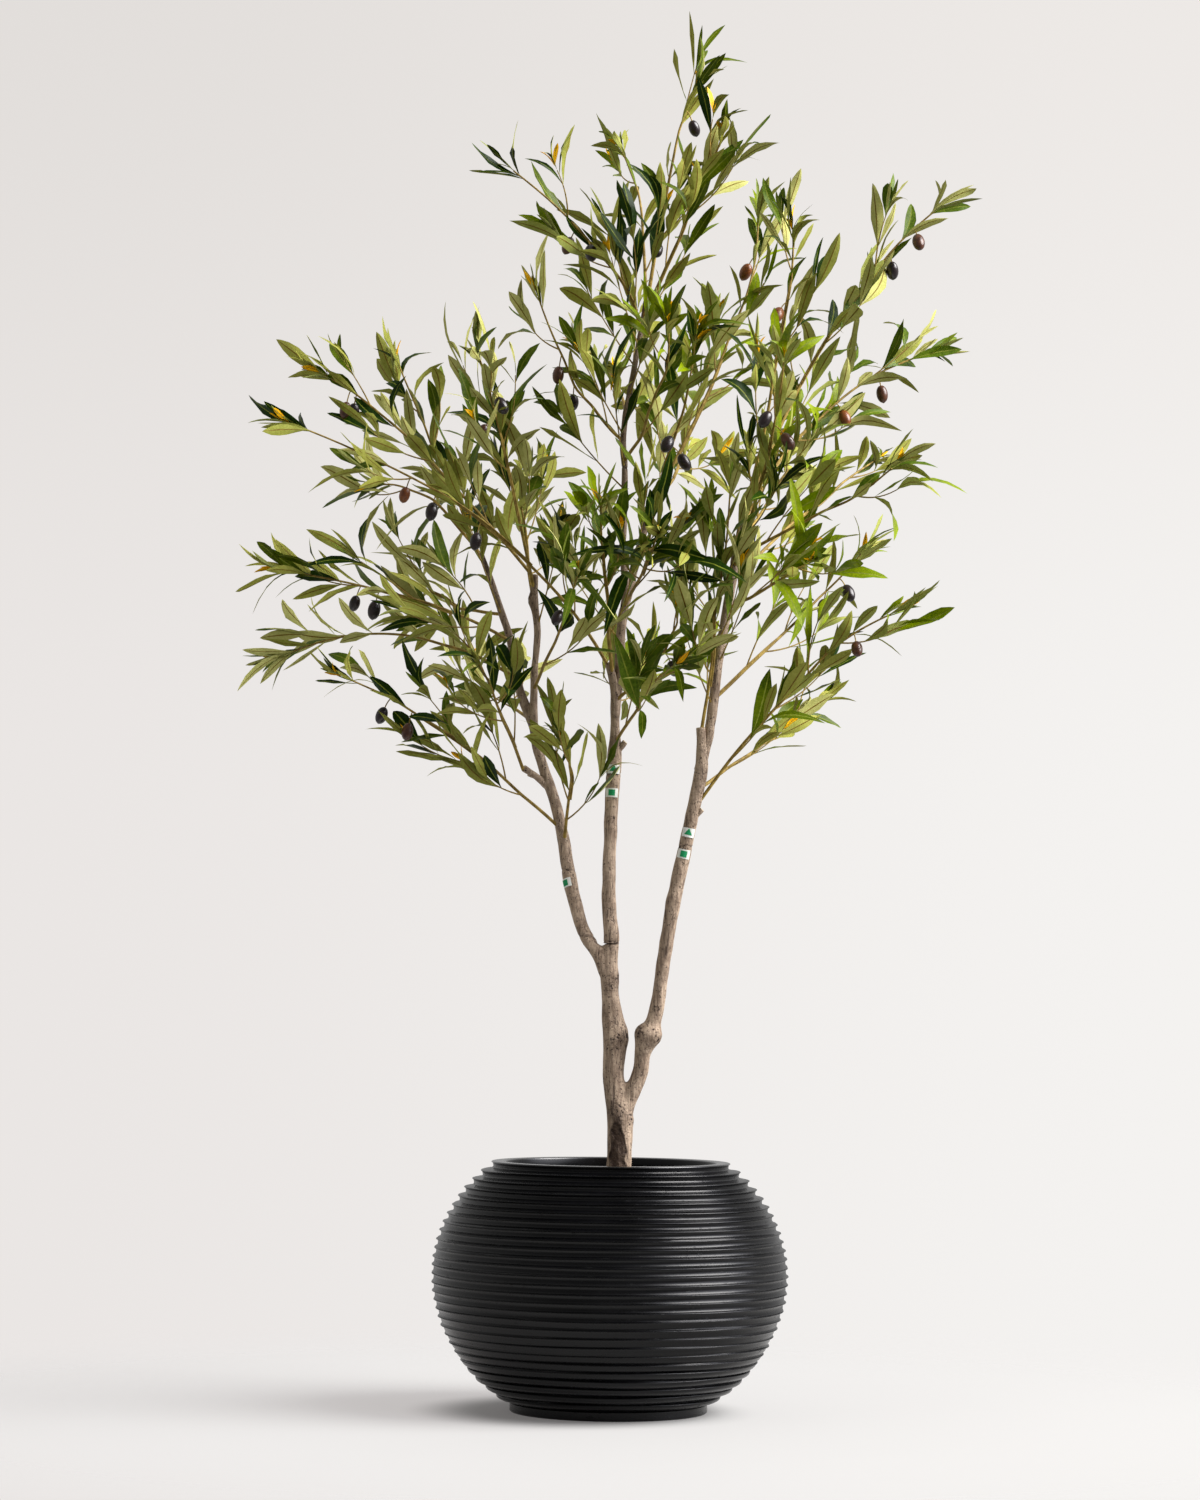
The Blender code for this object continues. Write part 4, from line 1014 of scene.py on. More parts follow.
def wood_relief(points, outward):
    """Raise the bark by lumps, wrinkles, knots, seams and the bare patch.  Gives corners, stain, and the
    patch's darker bark together with painted shade round knots and on the trunk's foot.

    A seam sinks the bark by a bell over the height from it.  With r the distance from the patch's
    middle over its half sizes, the bark rises in a bell round r = 0.8 and sinks inside it.
    """
    lift = lumps(points, BARK_LUMPS)
    stain, patch_and_shade = np.zeros(len(points)), np.zeros(len(points))
    for knot in KNOTS:
        raised, dark, knot_shade = knot_relief(points, *knot)
        lift += raised
        stain += dark
        patch_and_shade += knot_shade
    for lead, height in SEAMS:
        middle = lead_point(lead, height)
        near = np.linalg.norm(points[:, :2] - middle[:2], axis=1) < SEAM_REACH * middle[3]
        drop = points[:, 2] - height - SEAM_WANDER * waves(points, SEAM_WAVE, SEAM_SEED)
        seam = bell(drop, SEAM_WIDTH) * near
        lift -= SEAM_DEPTH * seam
        stain += SEAM_STAIN * seam
    reach = np.linalg.norm((points - PATCH_CENTRE) / PATCH_HALF, axis=1)
    reach = reach + PATCH_RAGGED * waves(points, PATCH_WAVE, PATCH_SEED)
    lift += 0.0009 * bell(reach - 0.80, 0.10) - 0.0006 * (reach < 0.72)
    stain += 0.28 * np.clip(4.0 - 4.8 * reach, 0, 1) + 0.45 * bell(reach - 0.72, 0.07)
    # Painted shade: the trunk darkens towards its foot below LOW_TOP, and the bare patch's own bark is
    # darker
    low = np.clip((LOW_TOP - points[:, 2]) / LOW_OVER, 0, 1)
    patch_and_shade += np.clip(3.2 - 3.2 * reach, 0, 1) + LOW_SHADE * low
    return points + outward * lift[:, None], np.clip(stain, 0, 1), np.clip(patch_and_shade, 0, 1)


def finish_wood(name, mesh, bare, surface, replaced):
    """Give a bark mesh its relief, stain, darker patch with painted shade, and cuts, and put it in the
    scene.
    """
    points, stain, patch_and_shade = wood_relief(read(mesh.vertices, "co", 3), read(mesh.vertices, "normal", 3))
    move_corners(mesh, points)
    for key, values in (("stain", stain * (1 - bare)), ("patch_and_shade", patch_and_shade * (1 - bare)), ("bare", bare)):
        attribute = mesh.attributes.new(key, "FLOAT", "POINT")
        attribute.data.foreach_set("value", values.astype(np.float32))
    add_piece(name, mesh, [surface], replaced, sharp=70)


def stub_run(lead, height, side, rise, length, radius):
    """A cut twig's stub: a short straight run from inside its limb, a little stouter at its root."""
    middle = lead_point(lead, height)
    share = np.linspace(0, 1, STUB_RINGS)[:, None]
    way = side_way(side, rise)
    centres = middle[:3] + way * share * (middle[3] * STUB_ROOT + length * STUB_OUT)
    return np.hstack([centres, radius * (STUB_WIDE - STUB_LESS * share)])


def build_limbs(surface):
    """Limbs and boughs, each a closed tube with its stubs."""
    for lead, low, nodes in LIMBS:
        shells = [limb_shell(smooth_run(lead, low), LIMB_SIDES)]
        shells += [limb_shell(stub_run(*stub), STUB_SIDES) for stub in STUBS if stub[0] == lead]
        mesh, bare = join_shells(shells)
        finish_wood(f"{lead}_bark", mesh, bare, surface, nodes)


def build_trunk(surface):
    """The trunk with both forks: runs joined by a voxel remesh, with their crotches rounded by smoothing.

    Smoothing moves each corner towards the mean of its neighbours: wholly near a crotch, in the first
    rounds half way elsewhere, and then not at all.
    """
    mesh, _ = join_shells([limb_shell(smooth_run(*run), LIMB_SIDES, cut_top=False) for run in TRUNK_RUNS])
    thing = show("trunk_runs", mesh)
    remesh = thing.modifiers.new("One skin", "REMESH")
    remesh.mode = "VOXEL"
    remesh.voxel_size = VOXEL
    graph = bpy.context.evaluated_depsgraph_get()
    skin = bpy.data.meshes.new_from_object(thing.evaluated_get(graph))
    bpy.data.objects.remove(thing, do_unlink=True)
    points = read(skin.vertices, "co", 3)
    count = len(points)
    first, second = read(skin.edges, "vertices", 2, np.int32).T
    degree = np.bincount(first, minlength=count) + np.bincount(second, minlength=count)
    gaps = [np.linalg.norm(points - np.array(crotch), axis=1) for crotch in CROTCHES]
    near = np.clip(CROTCH_GAIN - CROTCH_GAIN * np.min(gaps, axis=0) / CROTCH_REACH, 0, 1)
    for turn in range(CROTCH_ROUNDS):
        total = np.stack([np.bincount(first, points[second, axis], count)
                          + np.bincount(second, points[first, axis], count) for axis in range(3)], -1)
        share = np.maximum(near, 0.5 if turn < SOFTEN_ROUNDS else 0.0)[:, None]
        points = points + share * (total / degree[:, None] - points)
    points[:, 2] = np.maximum(points[:, 2], FILL_TOP - TRUNK_SUNK)
    move_corners(skin, points)
    finish_wood("trunk_bark", skin, np.zeros(count), surface, ("trunk",))


def sticker_grid():
    """A sticker laid flat: corners (across, up) on an even grid, and its faces."""
    across, upward = np.meshgrid(np.linspace(-1, 1, STICKER_COLUMNS), np.linspace(-1, 1, STICKER_ROWS))
    flat = np.stack([across.ravel() * STICKER_WIDTH / 2, upward.ravel() * STICKER_HEIGHT / 2], -1)
    return flat, grid_quads(STICKER_ROWS, STICKER_COLUMNS, False), np.zeros((0, 3), int)


def mark_outline(corners):
    """A mark laid flat: a triangle or square with its corners on a circle, an inner ring and a middle."""
    angles = (math.pi / 2 if corners == 3 else math.pi / 4) + 2 * np.pi * np.arange(corners) / corners
    outline = np.stack([np.cos(angles), np.sin(angles)], -1) * MARK_SIZE
    steps = np.linspace(0, 1, MARK_STEPS, endpoint=False)[None, :, None]
    edge = (outline[:, None] * (1 - steps) + np.roll(outline, -1, axis=0)[:, None] * steps).reshape(-1, 2)
    count = len(edge)
    flat = np.vstack([edge, edge * 0.5, [[0.0, 0.0]]])
    return flat, grid_quads(2, count, True)[:, ::-1], fan(2 * count, np.arange(count, 2 * count), False)


def wrapped_mesh(lead, height, side, lift, flat, quads, triangles):
    """A thin flat shape wrapped round a limb and closed along its rims, with its faces outwards.

    A corner lies at the limb's middle + (radius + lift) * (cos a * right + sin a * back), with a the
    side plus the distance across over the radius.
    """
    run = smooth_run(lead, height - STICKER_NEAR, height + STICKER_NEAR)
    nearest = np.argmin(np.abs(run[:, 2] - height))
    ahead, right, back = (ways[nearest] for ways in ring_frames(run[:, :3]))
    centre, radius = run[nearest, :3], run[nearest, 3]
    angle = math.radians(side) + flat[:, :1] / radius
    ways = np.cos(angle) * right + np.sin(angle) * back
    rises = (lift, lift - STICKER_THICKNESS)
    levels = [centre + flat[:, 1:] * ahead + ways * (radius + rise) for rise in rises]
    lower = len(flat)
    mesh = make_mesh(np.vstack(levels), np.vstack([quads, quads[:, ::-1] + lower]),
                     np.vstack([triangles, triangles[:, ::-1] + lower]))
    shell = bmesh.new()
    shell.from_mesh(mesh)
    bmesh.ops.bridge_loops(shell, edges=[edge for edge in shell.edges if edge.is_boundary])
    bmesh.ops.recalc_face_normals(shell, faces=shell.faces)
    shell.to_mesh(mesh)
    shell.free()
    return mesh


def build_stickers():
    """Pale assembly stickers with a plain triangle or square on each."""
    paper = plain_paint("sticker_paper", (232, 234, 228), (214, 216, 208), 0.006, 0.55)
    green = plain_paint("sticker_mark", (18, 132, 78), (30, 148, 92), 0.005, 0.5)
    for number, (lead, height, side, corners) in enumerate(STICKERS):
        patch = wrapped_mesh(lead, height, side, STICKER_LIFT, *sticker_grid())
        add_piece(f"sticker_{number}", patch, [paper])
        mark = wrapped_mesh(lead, height, side, STICKER_LIFT + MARK_RISE, *mark_outline(corners))
        add_piece(f"sticker_mark_{number}", mark, [green])


def belly_radius(height):
    """The radius of the lips at a height: half ellipses above and below the widest ring."""
    upper = height >= BELLY_HEIGHT
    end_radius = np.where(upper, RIM_RADIUS, FOOT_RADIUS)
    end_height = np.where(upper, PLANTER_HEIGHT, FOOT_HEIGHT)
    reach = (end_height - BELLY_HEIGHT) / np.sqrt(1.0 - (end_radius / BELLY_RADIUS) ** 2)
    return BELLY_RADIUS * np.sqrt(1.0 - ((height - BELLY_HEIGHT) / reach) ** 2)


def planter_profile():
    """The planter's wall as (radius, height, rib number), from the inside floor up, over the rim and down.

    A rib has a thin rounded lip on top.  Above the belly a steep wall ends in a ledge that runs out to
    the next lip; round the belly the wall is a shallow cove; below it the wall bulges before it turns
    in.  A row of RIB_ROWS gives its depth below the lip and, for the three forms, its share of the way
    from the root to the lip above or, below zero, to the lip below.  The slope of the belly blends the
    forms.
    """
    plain = [(FOOT_RADIUS - WALL, INNER_FLOOR)]
    for height in np.linspace(INNER_LOW, PLANTER_HEIGHT - INNER_SHOULDER, INNER_ROWS):
        plain.append((belly_radius(height) - WALL - RIB_DEPTH, height))
    mouth = RIM_RADIUS - RIM_WIDTH
    plain += [(mouth + out, PLANTER_HEIGHT - depth) for out, depth in MOUTH_ROWS]
    plain.append((RIM_RADIUS - RIM_EDGE, PLANTER_HEIGHT))
    rows = [(radius, height, -1) for radius, height in plain]
    pitch = (PLANTER_HEIGHT - FOOT_HEIGHT) / RIB_COUNT
    for rib in range(RIB_COUNT):
        top = PLANTER_HEIGHT - rib * pitch
        lip, following = belly_radius(top), belly_radius(top - pitch)
        slope = (following - lip) / pitch
        root = min(lip, following) - RIB_DEPTH
        shares = np.clip([slope, 1.0 - abs(slope), -slope], 0.0, 1.0)
        if rib:
            rows += [(lip - LIP_ROUND, top, rib), (lip - LIP_BEVEL, top - LIP_BEVEL, rib),
                     (lip, top - LIP_ROUND, rib)]
        else:
            rows += [(lip - RIM_ROUND * (1 - math.sin(turn)), top - RIM_ROUND * (1 - math.cos(turn)), rib)
                     for turn in np.linspace(0, math.pi / 2, RIM_POINTS)]
        for down, *forms in RIB_ROWS:
            radii = [root + abs(form) * ((lip if form > 0 else following) - root) for form in forms]
            rows.append((np.dot(shares, radii) / shares.sum(), top - down * pitch, rib))
    rows += [(FOOT_RADIUS, FOOT_HEIGHT, -1), (FOOT_RADIUS, FOOT_ROUND, -1),
             (FOOT_RADIUS - FOOT_ROUND, 0.0, -1)]
    return np.array(rows)


def build_planter():
    """The planter turned from its profile, with ribs that each waver a little outwards, up and down.

    The waver of a rib is the mean of three sine waves round the planter, with seeded phases and
    strengths.  Up and down it takes the waver of the rib as far from the other end.  The rim stays
    level.
    """
    radius, height, rib = planter_profile().T
    rib = rib.astype(int)
    angles = 2 * np.pi * np.arange(PLANTER_STEPS) / PLANTER_STEPS
    chance = np.random.default_rng(WAVER_SEED)
    phases = chance.uniform(0, 2 * np.pi, (RIB_COUNT, 3))
    swing = chance.uniform(*WAVER_SWINGS, (RIB_COUNT, 3))
    turns = angles[None, :, None] * np.array(WAVER_TURNS)
    waver = (np.sin(turns + phases[:, None]) * swing[:, None]).mean(axis=-1) * RIB_WAVER
    still = np.zeros((1, PLANTER_STEPS))
    out = np.vstack([waver, still])
    sway = np.vstack([still, np.roll(waver[-2::-1], SWAY_STEPS, axis=1), still])
    radii, heights = radius[:, None] + out[rib], height[:, None] + sway[rib]
    mesh = turned_mesh(radii, heights, PLANTER_STEPS, INNER_FLOOR, 0.0)
    add_piece("planter_shell", mesh, [resin_paint()], ("planter",), sharp=32)


def build_filler():
    """The filler: a crowned dark bed with lumps, closed below, and loose chips of bark scattered on it.

    The bed's height is FILL_TOP - FILL_CROWN * s^2 at a share s of its radius.  A chip is a short tube
    whose radius falls off from its middle by 1 - 1.6 s^2, with s from -1/2 to 1/2.
    """
    surface = filler_paint()
    reach = float(belly_radius(np.array(FILL_TOP))) - WALL - RIB_DEPTH - FILL_GAP
    share = np.linspace(FILL_MIDDLE, 1, FILL_RINGS)[:, None]
    radii = np.repeat(share * reach, FILL_STEPS, axis=1)
    heights = np.repeat(FILL_TOP - FILL_CROWN * share ** 2, FILL_STEPS, axis=1)
    rings = radii[..., None] * spokes(FILL_STEPS, RIGHT, BACK) + heights[..., None] * UP
    heights = heights + lumps(rings.reshape(-1, 3), FILL_LUMPS).reshape(heights.shape)
    radii = np.vstack([radii, radii[-1:] * FILL_TAPER])
    heights = np.vstack([heights, heights[-1:] - FILL_DEPTH])
    mesh = turned_mesh(radii, heights, FILL_STEPS, FILL_TOP + FILL_PEAK, FILL_TOP - FILL_DEPTH - FILL_CROWN)
    add_piece("filler_bed", mesh, [surface], ("planter_fill",))
    chance = np.random.default_rng(CHIP_SEED)
    turn = chance.uniform(0, 2 * np.pi, CHIP_COUNT)
    far = np.sqrt(chance.uniform(*CHIP_SPREAD, CHIP_COUNT)) * reach * CHIP_REACH
    level = FILL_TOP + chance.uniform(*CHIP_LEVELS, CHIP_COUNT)
    centres = np.stack([far * np.cos(turn), far * np.sin(turn), level], -1)
    ways = unit(chance.normal(size=(3, CHIP_COUNT)).T * np.array([1.0, 1.0, CHIP_FLATNESS]))
    long = CHIP_LENGTH * chance.uniform(*CHIP_VARIES, CHIP_COUNT)
    shares = np.linspace(-0.5, 0.5, CHIP_POINTS)
    paths = centres[:, None] + ways[:, None] * (shares[None, :, None] * long[:, None, None])
    thick = (long * CHIP_THICKNESS)[:, None] * (1 - CHIP_TAPER * shares ** 2)[None]
    add_piece("filler_chips", tube_mesh(paths, thick, CHIP_SIDES), [surface])


def tilted(heading, turn, spread):
    """A direction that leans away from a heading by a spread, towards a turn round it."""
    side = np.cross(heading, UP)
    if np.linalg.norm(side) < 0.1:
        side = np.cross(heading, RIGHT)
    side = unit(side)
    side = side * math.cos(turn) + np.cross(heading, side) * math.sin(turn)
    return unit(heading * math.cos(spread) + side * math.sin(spread))


def bend(start, middle, end, shares):
    """Points of the parabola from start to end that passes the middle point half way."""
    control = 2 * middle - (start + end) / 2
    shares = np.asarray(shares)[:, None]
    return start * (1 - shares) ** 2 + control * (2 * shares * (1 - shares)) + end * shares ** 2


def path_point(path, share):
    """The point at a share of a path, and the direction of the path there."""
    place = share * (len(path) - 1)
    step = min(int(place), len(path) - 2)
    return path[step] + (path[step + 1] - path[step]) * (place - step), unit(path[step + 1] - path[step])


def spaced(rate, low, high, fullness):
    """Shares from low to high at even steps of the run of rate * fullness, given at three shares."""
    shares = np.linspace(low, high, SPACING_POINTS)
    gains = np.interp(shares[1:], HABIT_SHARES, fullness)
    run = np.concatenate([[0.0], np.cumsum(gains)]) * rate * (high - low) / (SPACING_POINTS - 1)
    return np.interp(np.linspace(0, run[-1], round(run[-1]) + 1), run, shares)


class Growth:
    """What a group of sprays has grown: rows of leaves, twigs, stems, olives and their stalks."""

    def __init__(self, wood, lean, tones):
        self.wood = wood
        self.lean = lean
        self.palette = [tone for tone, weight in tones.items() for part in range(weight)]
        self.chance = None
        self.leaves = []
        self.stems = []
        self.twigs = []
        self.stalks = []
        self.olives = []

    def clear(self, point):
        """Whether a point stands off the wood."""
        gaps = np.linalg.norm(self.wood[:, :3] - point, axis=1) - self.wood[:, 3]
        return gaps.min() > CLEAR_OF_WOOD

    def tone(self, main):
        """The spray's main tone, or another of its group's."""
        return main if self.chance.random() < MAIN_TONE else self.chance.choice(self.palette)

    def leaf(self, root, heading, turn, spread, tone, length, width):
        """One leaf, unless its middle would come near the wood or its tip pass the reach.

        It leans from the twig by the spread and a little up.  Its upper face looks to the tip and up,
        and strays.
        """
        chance = self.chance
        way = unit(tilted(heading, turn, math.radians(spread)) + UP * LEAF_LIFT)
        facing = heading - way * heading.dot(way)
        facing = facing / max(np.linalg.norm(facing), FACING_LEAST) * FACING_AHEAD
        facing = facing + UP * chance.uniform(*FACING_UP)
        facing = facing + np.array([chance.gauss(0, FACING_STRAYS), chance.gauss(self.lean, FACING_TURNS),
                                    chance.gauss(0, FACING_STRAYS)])
        facing = unit(facing - way * facing.dot(way))
        curl = chance.gauss(*CURLS)
        hook = chance.gauss(*HOOKS)
        droop = chance.uniform(*DROOP_ROOTS) ** 2 - DROOP_LESS
        shape = (curl, chance.gauss(*TWISTS), chance.uniform(*FOLDS), chance.uniform(0, math.tau),
                 chance.gauss(*SWAYS), hook, droop)
        if width > YOUNG_WIDTH:
            narrow = chance.uniform(*LEAF_NARROWS)
            width *= narrow * (SLENDER_WIDTH if chance.random() < SLENDER_SHARE else 1.0)
        tip = root + (way + facing * (curl + hook) - UP * droop) * length
        inside = (tip >= REACH_LOW).all() and (tip <= REACH_HIGH).all()
        if inside and self.clear(root + way * length * CLEAR_AT):
            self.leaves.append((*root, *way, *facing, length, width, *shape, list(TONES).index(tone)))

    def pair(self, point, heading, turn, tone, scale=1.0):
        """Two leaves on opposite sides, each with its own size, stray turn and spread."""
        for side in (0.0, math.pi):
            size = self.chance.uniform(*LEAF_VARIES) * scale
            astray = turn + side + self.chance.uniform(*PAIR_TURNS)
            spread = self.chance.uniform(*LEAF_SPREAD)
            self.leaf(point, heading, astray, spread, tone, LEAF_LENGTH * size, LEAF_WIDTH * size)

    def spray(self, number, row):
        """One spray by the seeded rule: a bent stem, twigs round it in turn, and leaves in pairs on it.

        The stem is a parabola through its bend, plus a random wander * sin(pi s) at a share s of its
        length.
        """
        habit, lead, height, middle, last, olives = row
        fullness = HABITS[habit]
        self.chance = random.Random(SEED + number)
        foot = lead_point(lead, height)
        start, middle, last = foot[:3], np.array(middle), np.array(last)
        tip = last - unit(last - middle) * TIP_LEAF
        if height == CUT_TOP:
            outward = (2 * middle - (start + tip) / 2 - start) * (RIGHT + BACK)
            start = start + unit(outward) * foot[3] * CUT_OUT - UP * CUT_SUNK
        length = np.linalg.norm(middle - start) + np.linalg.norm(tip - middle)
        shares = np.linspace(0, 1, STEM_POINTS)
        wander = np.array([[self.chance.gauss(0, 1) for axis in range(3)] for knot in range(STEM_KNOTS)])
        wander = resample(shares, np.linspace(0, 1, STEM_KNOTS), wander) * STEM_WANDER
        path = bend(start, middle, tip, shares) + wander * np.sin(np.pi * shares)[:, None]
        self.stems.append((path, STEM_RADIUS + (STEM_TIP_RADIUS - STEM_RADIUS) * shares))
        main = self.chance.choice(self.palette)
        roll = self.chance.uniform(0, math.tau)
        for index, share in enumerate(spaced(length / TWIG_STEP, TWIG_FIRST, TWIG_LAST, fullness)):
            root, heading = path_point(path, share)
            reach = (TWIG_LONG + (TWIG_SHORT - TWIG_LONG) * share) * self.chance.uniform(*TWIG_VARIES)
            turn = roll + GOLDEN_ANGLE * index
            self.twig(root, heading, turn, reach, self.tone(main))
            if index % 2 == 0 and share > STRAND_FIRST:
                self.strand(path, share, turn)
        for index, share in enumerate(spaced(length / PAIR_STEP, PAIR_FIRST, PAIR_LAST, fullness)):
            point, heading = path_point(path, share)
            tone = self.tone(main)
            self.pair(point, heading, roll + math.pi / 2 * index, tone, PAIR_LARGE - PAIR_LESS * share)
        self.rosette(path[-1], unit(path[-1] - path[-3]), main, True)
        for share, swing in olives:
            self.olive(path, share, swing)

    def shoot(self, number, lead, height, side, rise, length):
        """A leafy shoot that grows from the wood itself."""
        self.chance = random.Random(SHOOT_SEED + number)
        foot = lead_point(lead, height)
        heading = side_way(side, rise)
        root = foot[:3] + heading * foot[3] * SHOOT_ROOT
        tone = self.chance.choice(self.palette)
        turn = self.chance.uniform(0, math.tau)
        self.twig(root, unit(heading + UP * SHOOT_LIFT), turn, length, tone, SHOOT_SPREAD)

    def twig(self, root, heading, turn, reach, tone, spread=None):
        """A twig that curves back along its stem, with leaves in pairs, each pair turned by a quarter."""
        if spread is None:
            spread = self.chance.uniform(*TWIG_SPREAD)
        away = tilted(heading, turn, math.radians(spread))
        end = root + (away * TWIG_AWAY + heading * TWIG_AHEAD + UP * TWIG_LIFT) * reach
        if not self.clear(end):
            return
        shares = np.linspace(0, 1, TWIG_POINTS)
        path = bend(root, root + away * reach * TWIG_BELLY, end, shares)
        self.twigs.append((path, TWIG_RADIUS + (TWIG_TIP_RADIUS - TWIG_RADIUS) * shares))
        count = max(1, round(reach / NODE_STEP) - 1)
        turn = self.chance.uniform(0, math.pi)
        for share in np.linspace(NODE_FIRST, NODE_LAST, count) if count > 1 else (NODE_ONLY,):
            point, ahead = path_point(path, share)
            self.pair(point, ahead, turn, tone)
            turn += math.pi / 2
        self.rosette(path[-1], unit(path[-1] - path[-2]), tone, False)

    def rosette(self, point, heading, tone, stem):
        """Leaves round a tip: one or two on a twig, three or four on a stem, and slender young ones.

        The young ones are missing on half of the twigs, and a few tips end in a pair of amber buds.
        """
        chance = self.chance
        count = 1 + 2 * stem + (chance.random() < TIP_MORE)
        roll = chance.uniform(0, math.tau)
        for index in range(count):
            size = chance.uniform(*TIP_SIZES)
            spread = chance.uniform(*TIP_SPREADS[index > 0])
            width = LEAF_WIDTH * size * chance.uniform(*TIP_WIDTHS)
            root = point - heading * TIP_STEP * index
            self.leaf(root, heading, roll + GOLDEN_ANGLE * index, spread, tone, LEAF_LENGTH * size, width)
        if stem or chance.random() < YOUNG_CHANCE:
            for index in range(2 + stem):
                spread = chance.uniform(*YOUNG_SPREAD)
                young = "young" if chance.random() < YOUNG_CHANCE else tone
                length = YOUNG_LENGTH * chance.uniform(*YOUNG_VARIES)
                root = point - heading * YOUNG_STEP * index
                turn = roll + YOUNG_ROLL + YOUNG_TURN * index
                self.leaf(root, heading, turn, spread, young, length, YOUNG_WIDTH)
        if chance.random() < AMBER_CHANCES[stem]:
            root = point + heading * AMBER_OUT
            for side in (0.0, math.pi):
                spread = chance.uniform(*AMBER_SPREAD)
                length = AMBER_LENGTH * chance.uniform(*AMBER_VARIES)
                self.leaf(root, heading, roll + side, spread, "amber", length, AMBER_WIDTH)

    def strand(self, path, share, turn):
        """A thinner wire bound along the stem below a twig that it feeds.

        It stands off the stem by STRAND_GAP * (1 - s^6) at a share s of its own length.
        """
        low, high = max(0, int((share - STRAND_REACH) * (STEM_POINTS - 1))), int(share * (STEM_POINTS - 1))
        piece = path[low:high + 1]
        heading = unit(piece[-1] - piece[0])
        aside = np.cross(heading, tilted(heading, turn, math.pi / 2))
        shares = np.linspace(0, 1, STEM_POINTS)
        line = resample(shares * (len(piece) - 1), np.arange(len(piece)), piece)
        line = line + aside * STRAND_GAP * (1 - shares[:, None] ** 6)
        self.stems.append((line, np.full(STEM_POINTS, STRAND_RADIUS)))

    def olive(self, path, share, swing):
        """An olive that hangs from the stem on a thin bent stalk."""
        step = min(int(share * (STEM_POINTS - 1)), STEM_POINTS - 2)
        root, heading = path[step], unit(path[step + 1] - path[step])
        aside = unit(np.cross(heading, UP))
        way = unit(aside * swing * OLIVE_SWING - UP + heading * OLIVE_LEAN)
        end = root + way * OLIVE_STALK
        middle = root + way * OLIVE_STALK * 0.5 + UP * OLIVE_STALK_RISE
        stalk = bend(root, middle, end, np.linspace(0, 1, OLIVE_STALK_POINTS))
        self.stalks.append((stalk, np.full(OLIVE_STALK_POINTS, OLIVE_STALK_RADIUS)))
        hang = unit(way * OLIVE_AHEAD - UP * OLIVE_DOWN)
        centre = end + hang * (OLIVE_LENGTH / 2 - OLIVE_SUNK)
        ripe = self.chance.choices((0, 1, 2), RIPE_WEIGHTS)[0]
        self.olives.append((*centre, *hang, self.chance.uniform(*OLIVE_VARIES), ripe))


def leaf_outline(share):
    """Half the width of a leaf at a share of its length, as a share of its half width at the widest place.

    sin(pi x^1.28)^0.82, with x running from the stalk's end to the tip.
    """
    x = np.clip((share - STALK_SHARE) / (1 - STALK_SHARE), 0, 1)
    return np.sin(np.pi * x ** OUTLINE_SKEW) ** OUTLINE_POWER


def leaf_faces(rows, columns):
    """The triangles of one leaf, and for each which of the tone's four materials it has.

    The upper face's corners come row by row, then those of the lower face inside the margin, then the
    two poles. Both faces are cut along the same diagonals, so that a bent leaf's two faces never cross.
    """
    over = np.arange(rows * columns).reshape(rows, columns)
    inner = rows * columns + np.arange(rows * (columns - 2)).reshape(rows, columns - 2)
    under = np.hstack([over[:, :1], inner, over[:, -1:]])
    foot, peak = inner[-1, -1] + 1, inner[-1, -1] + 2
    faces, kinds = [], []
    for net, kind in ((over, 0), (under, 2)):
        a, b, c, d = net[:-1, :-1], net[:-1, 1:], net[1:, 1:], net[1:, :-1]
        sheet = np.vstack([np.stack([a, b, c], -1).reshape(-1, 3), np.stack([a, c, d], -1).reshape(-1, 3),
                           np.stack([np.full(columns - 1, foot), net[0, 1:], net[0, :-1]], -1),
                           np.stack([np.full(columns - 1, peak), net[-1, :-1], net[-1, 1:]], -1)])
        faces.append(sheet if kind == 0 else sheet[:, ::-1])
        kinds.append(np.tile(LEAF_STRIPS, 2 * rows) + kind)
    return np.vstack(faces), np.concatenate(kinds)


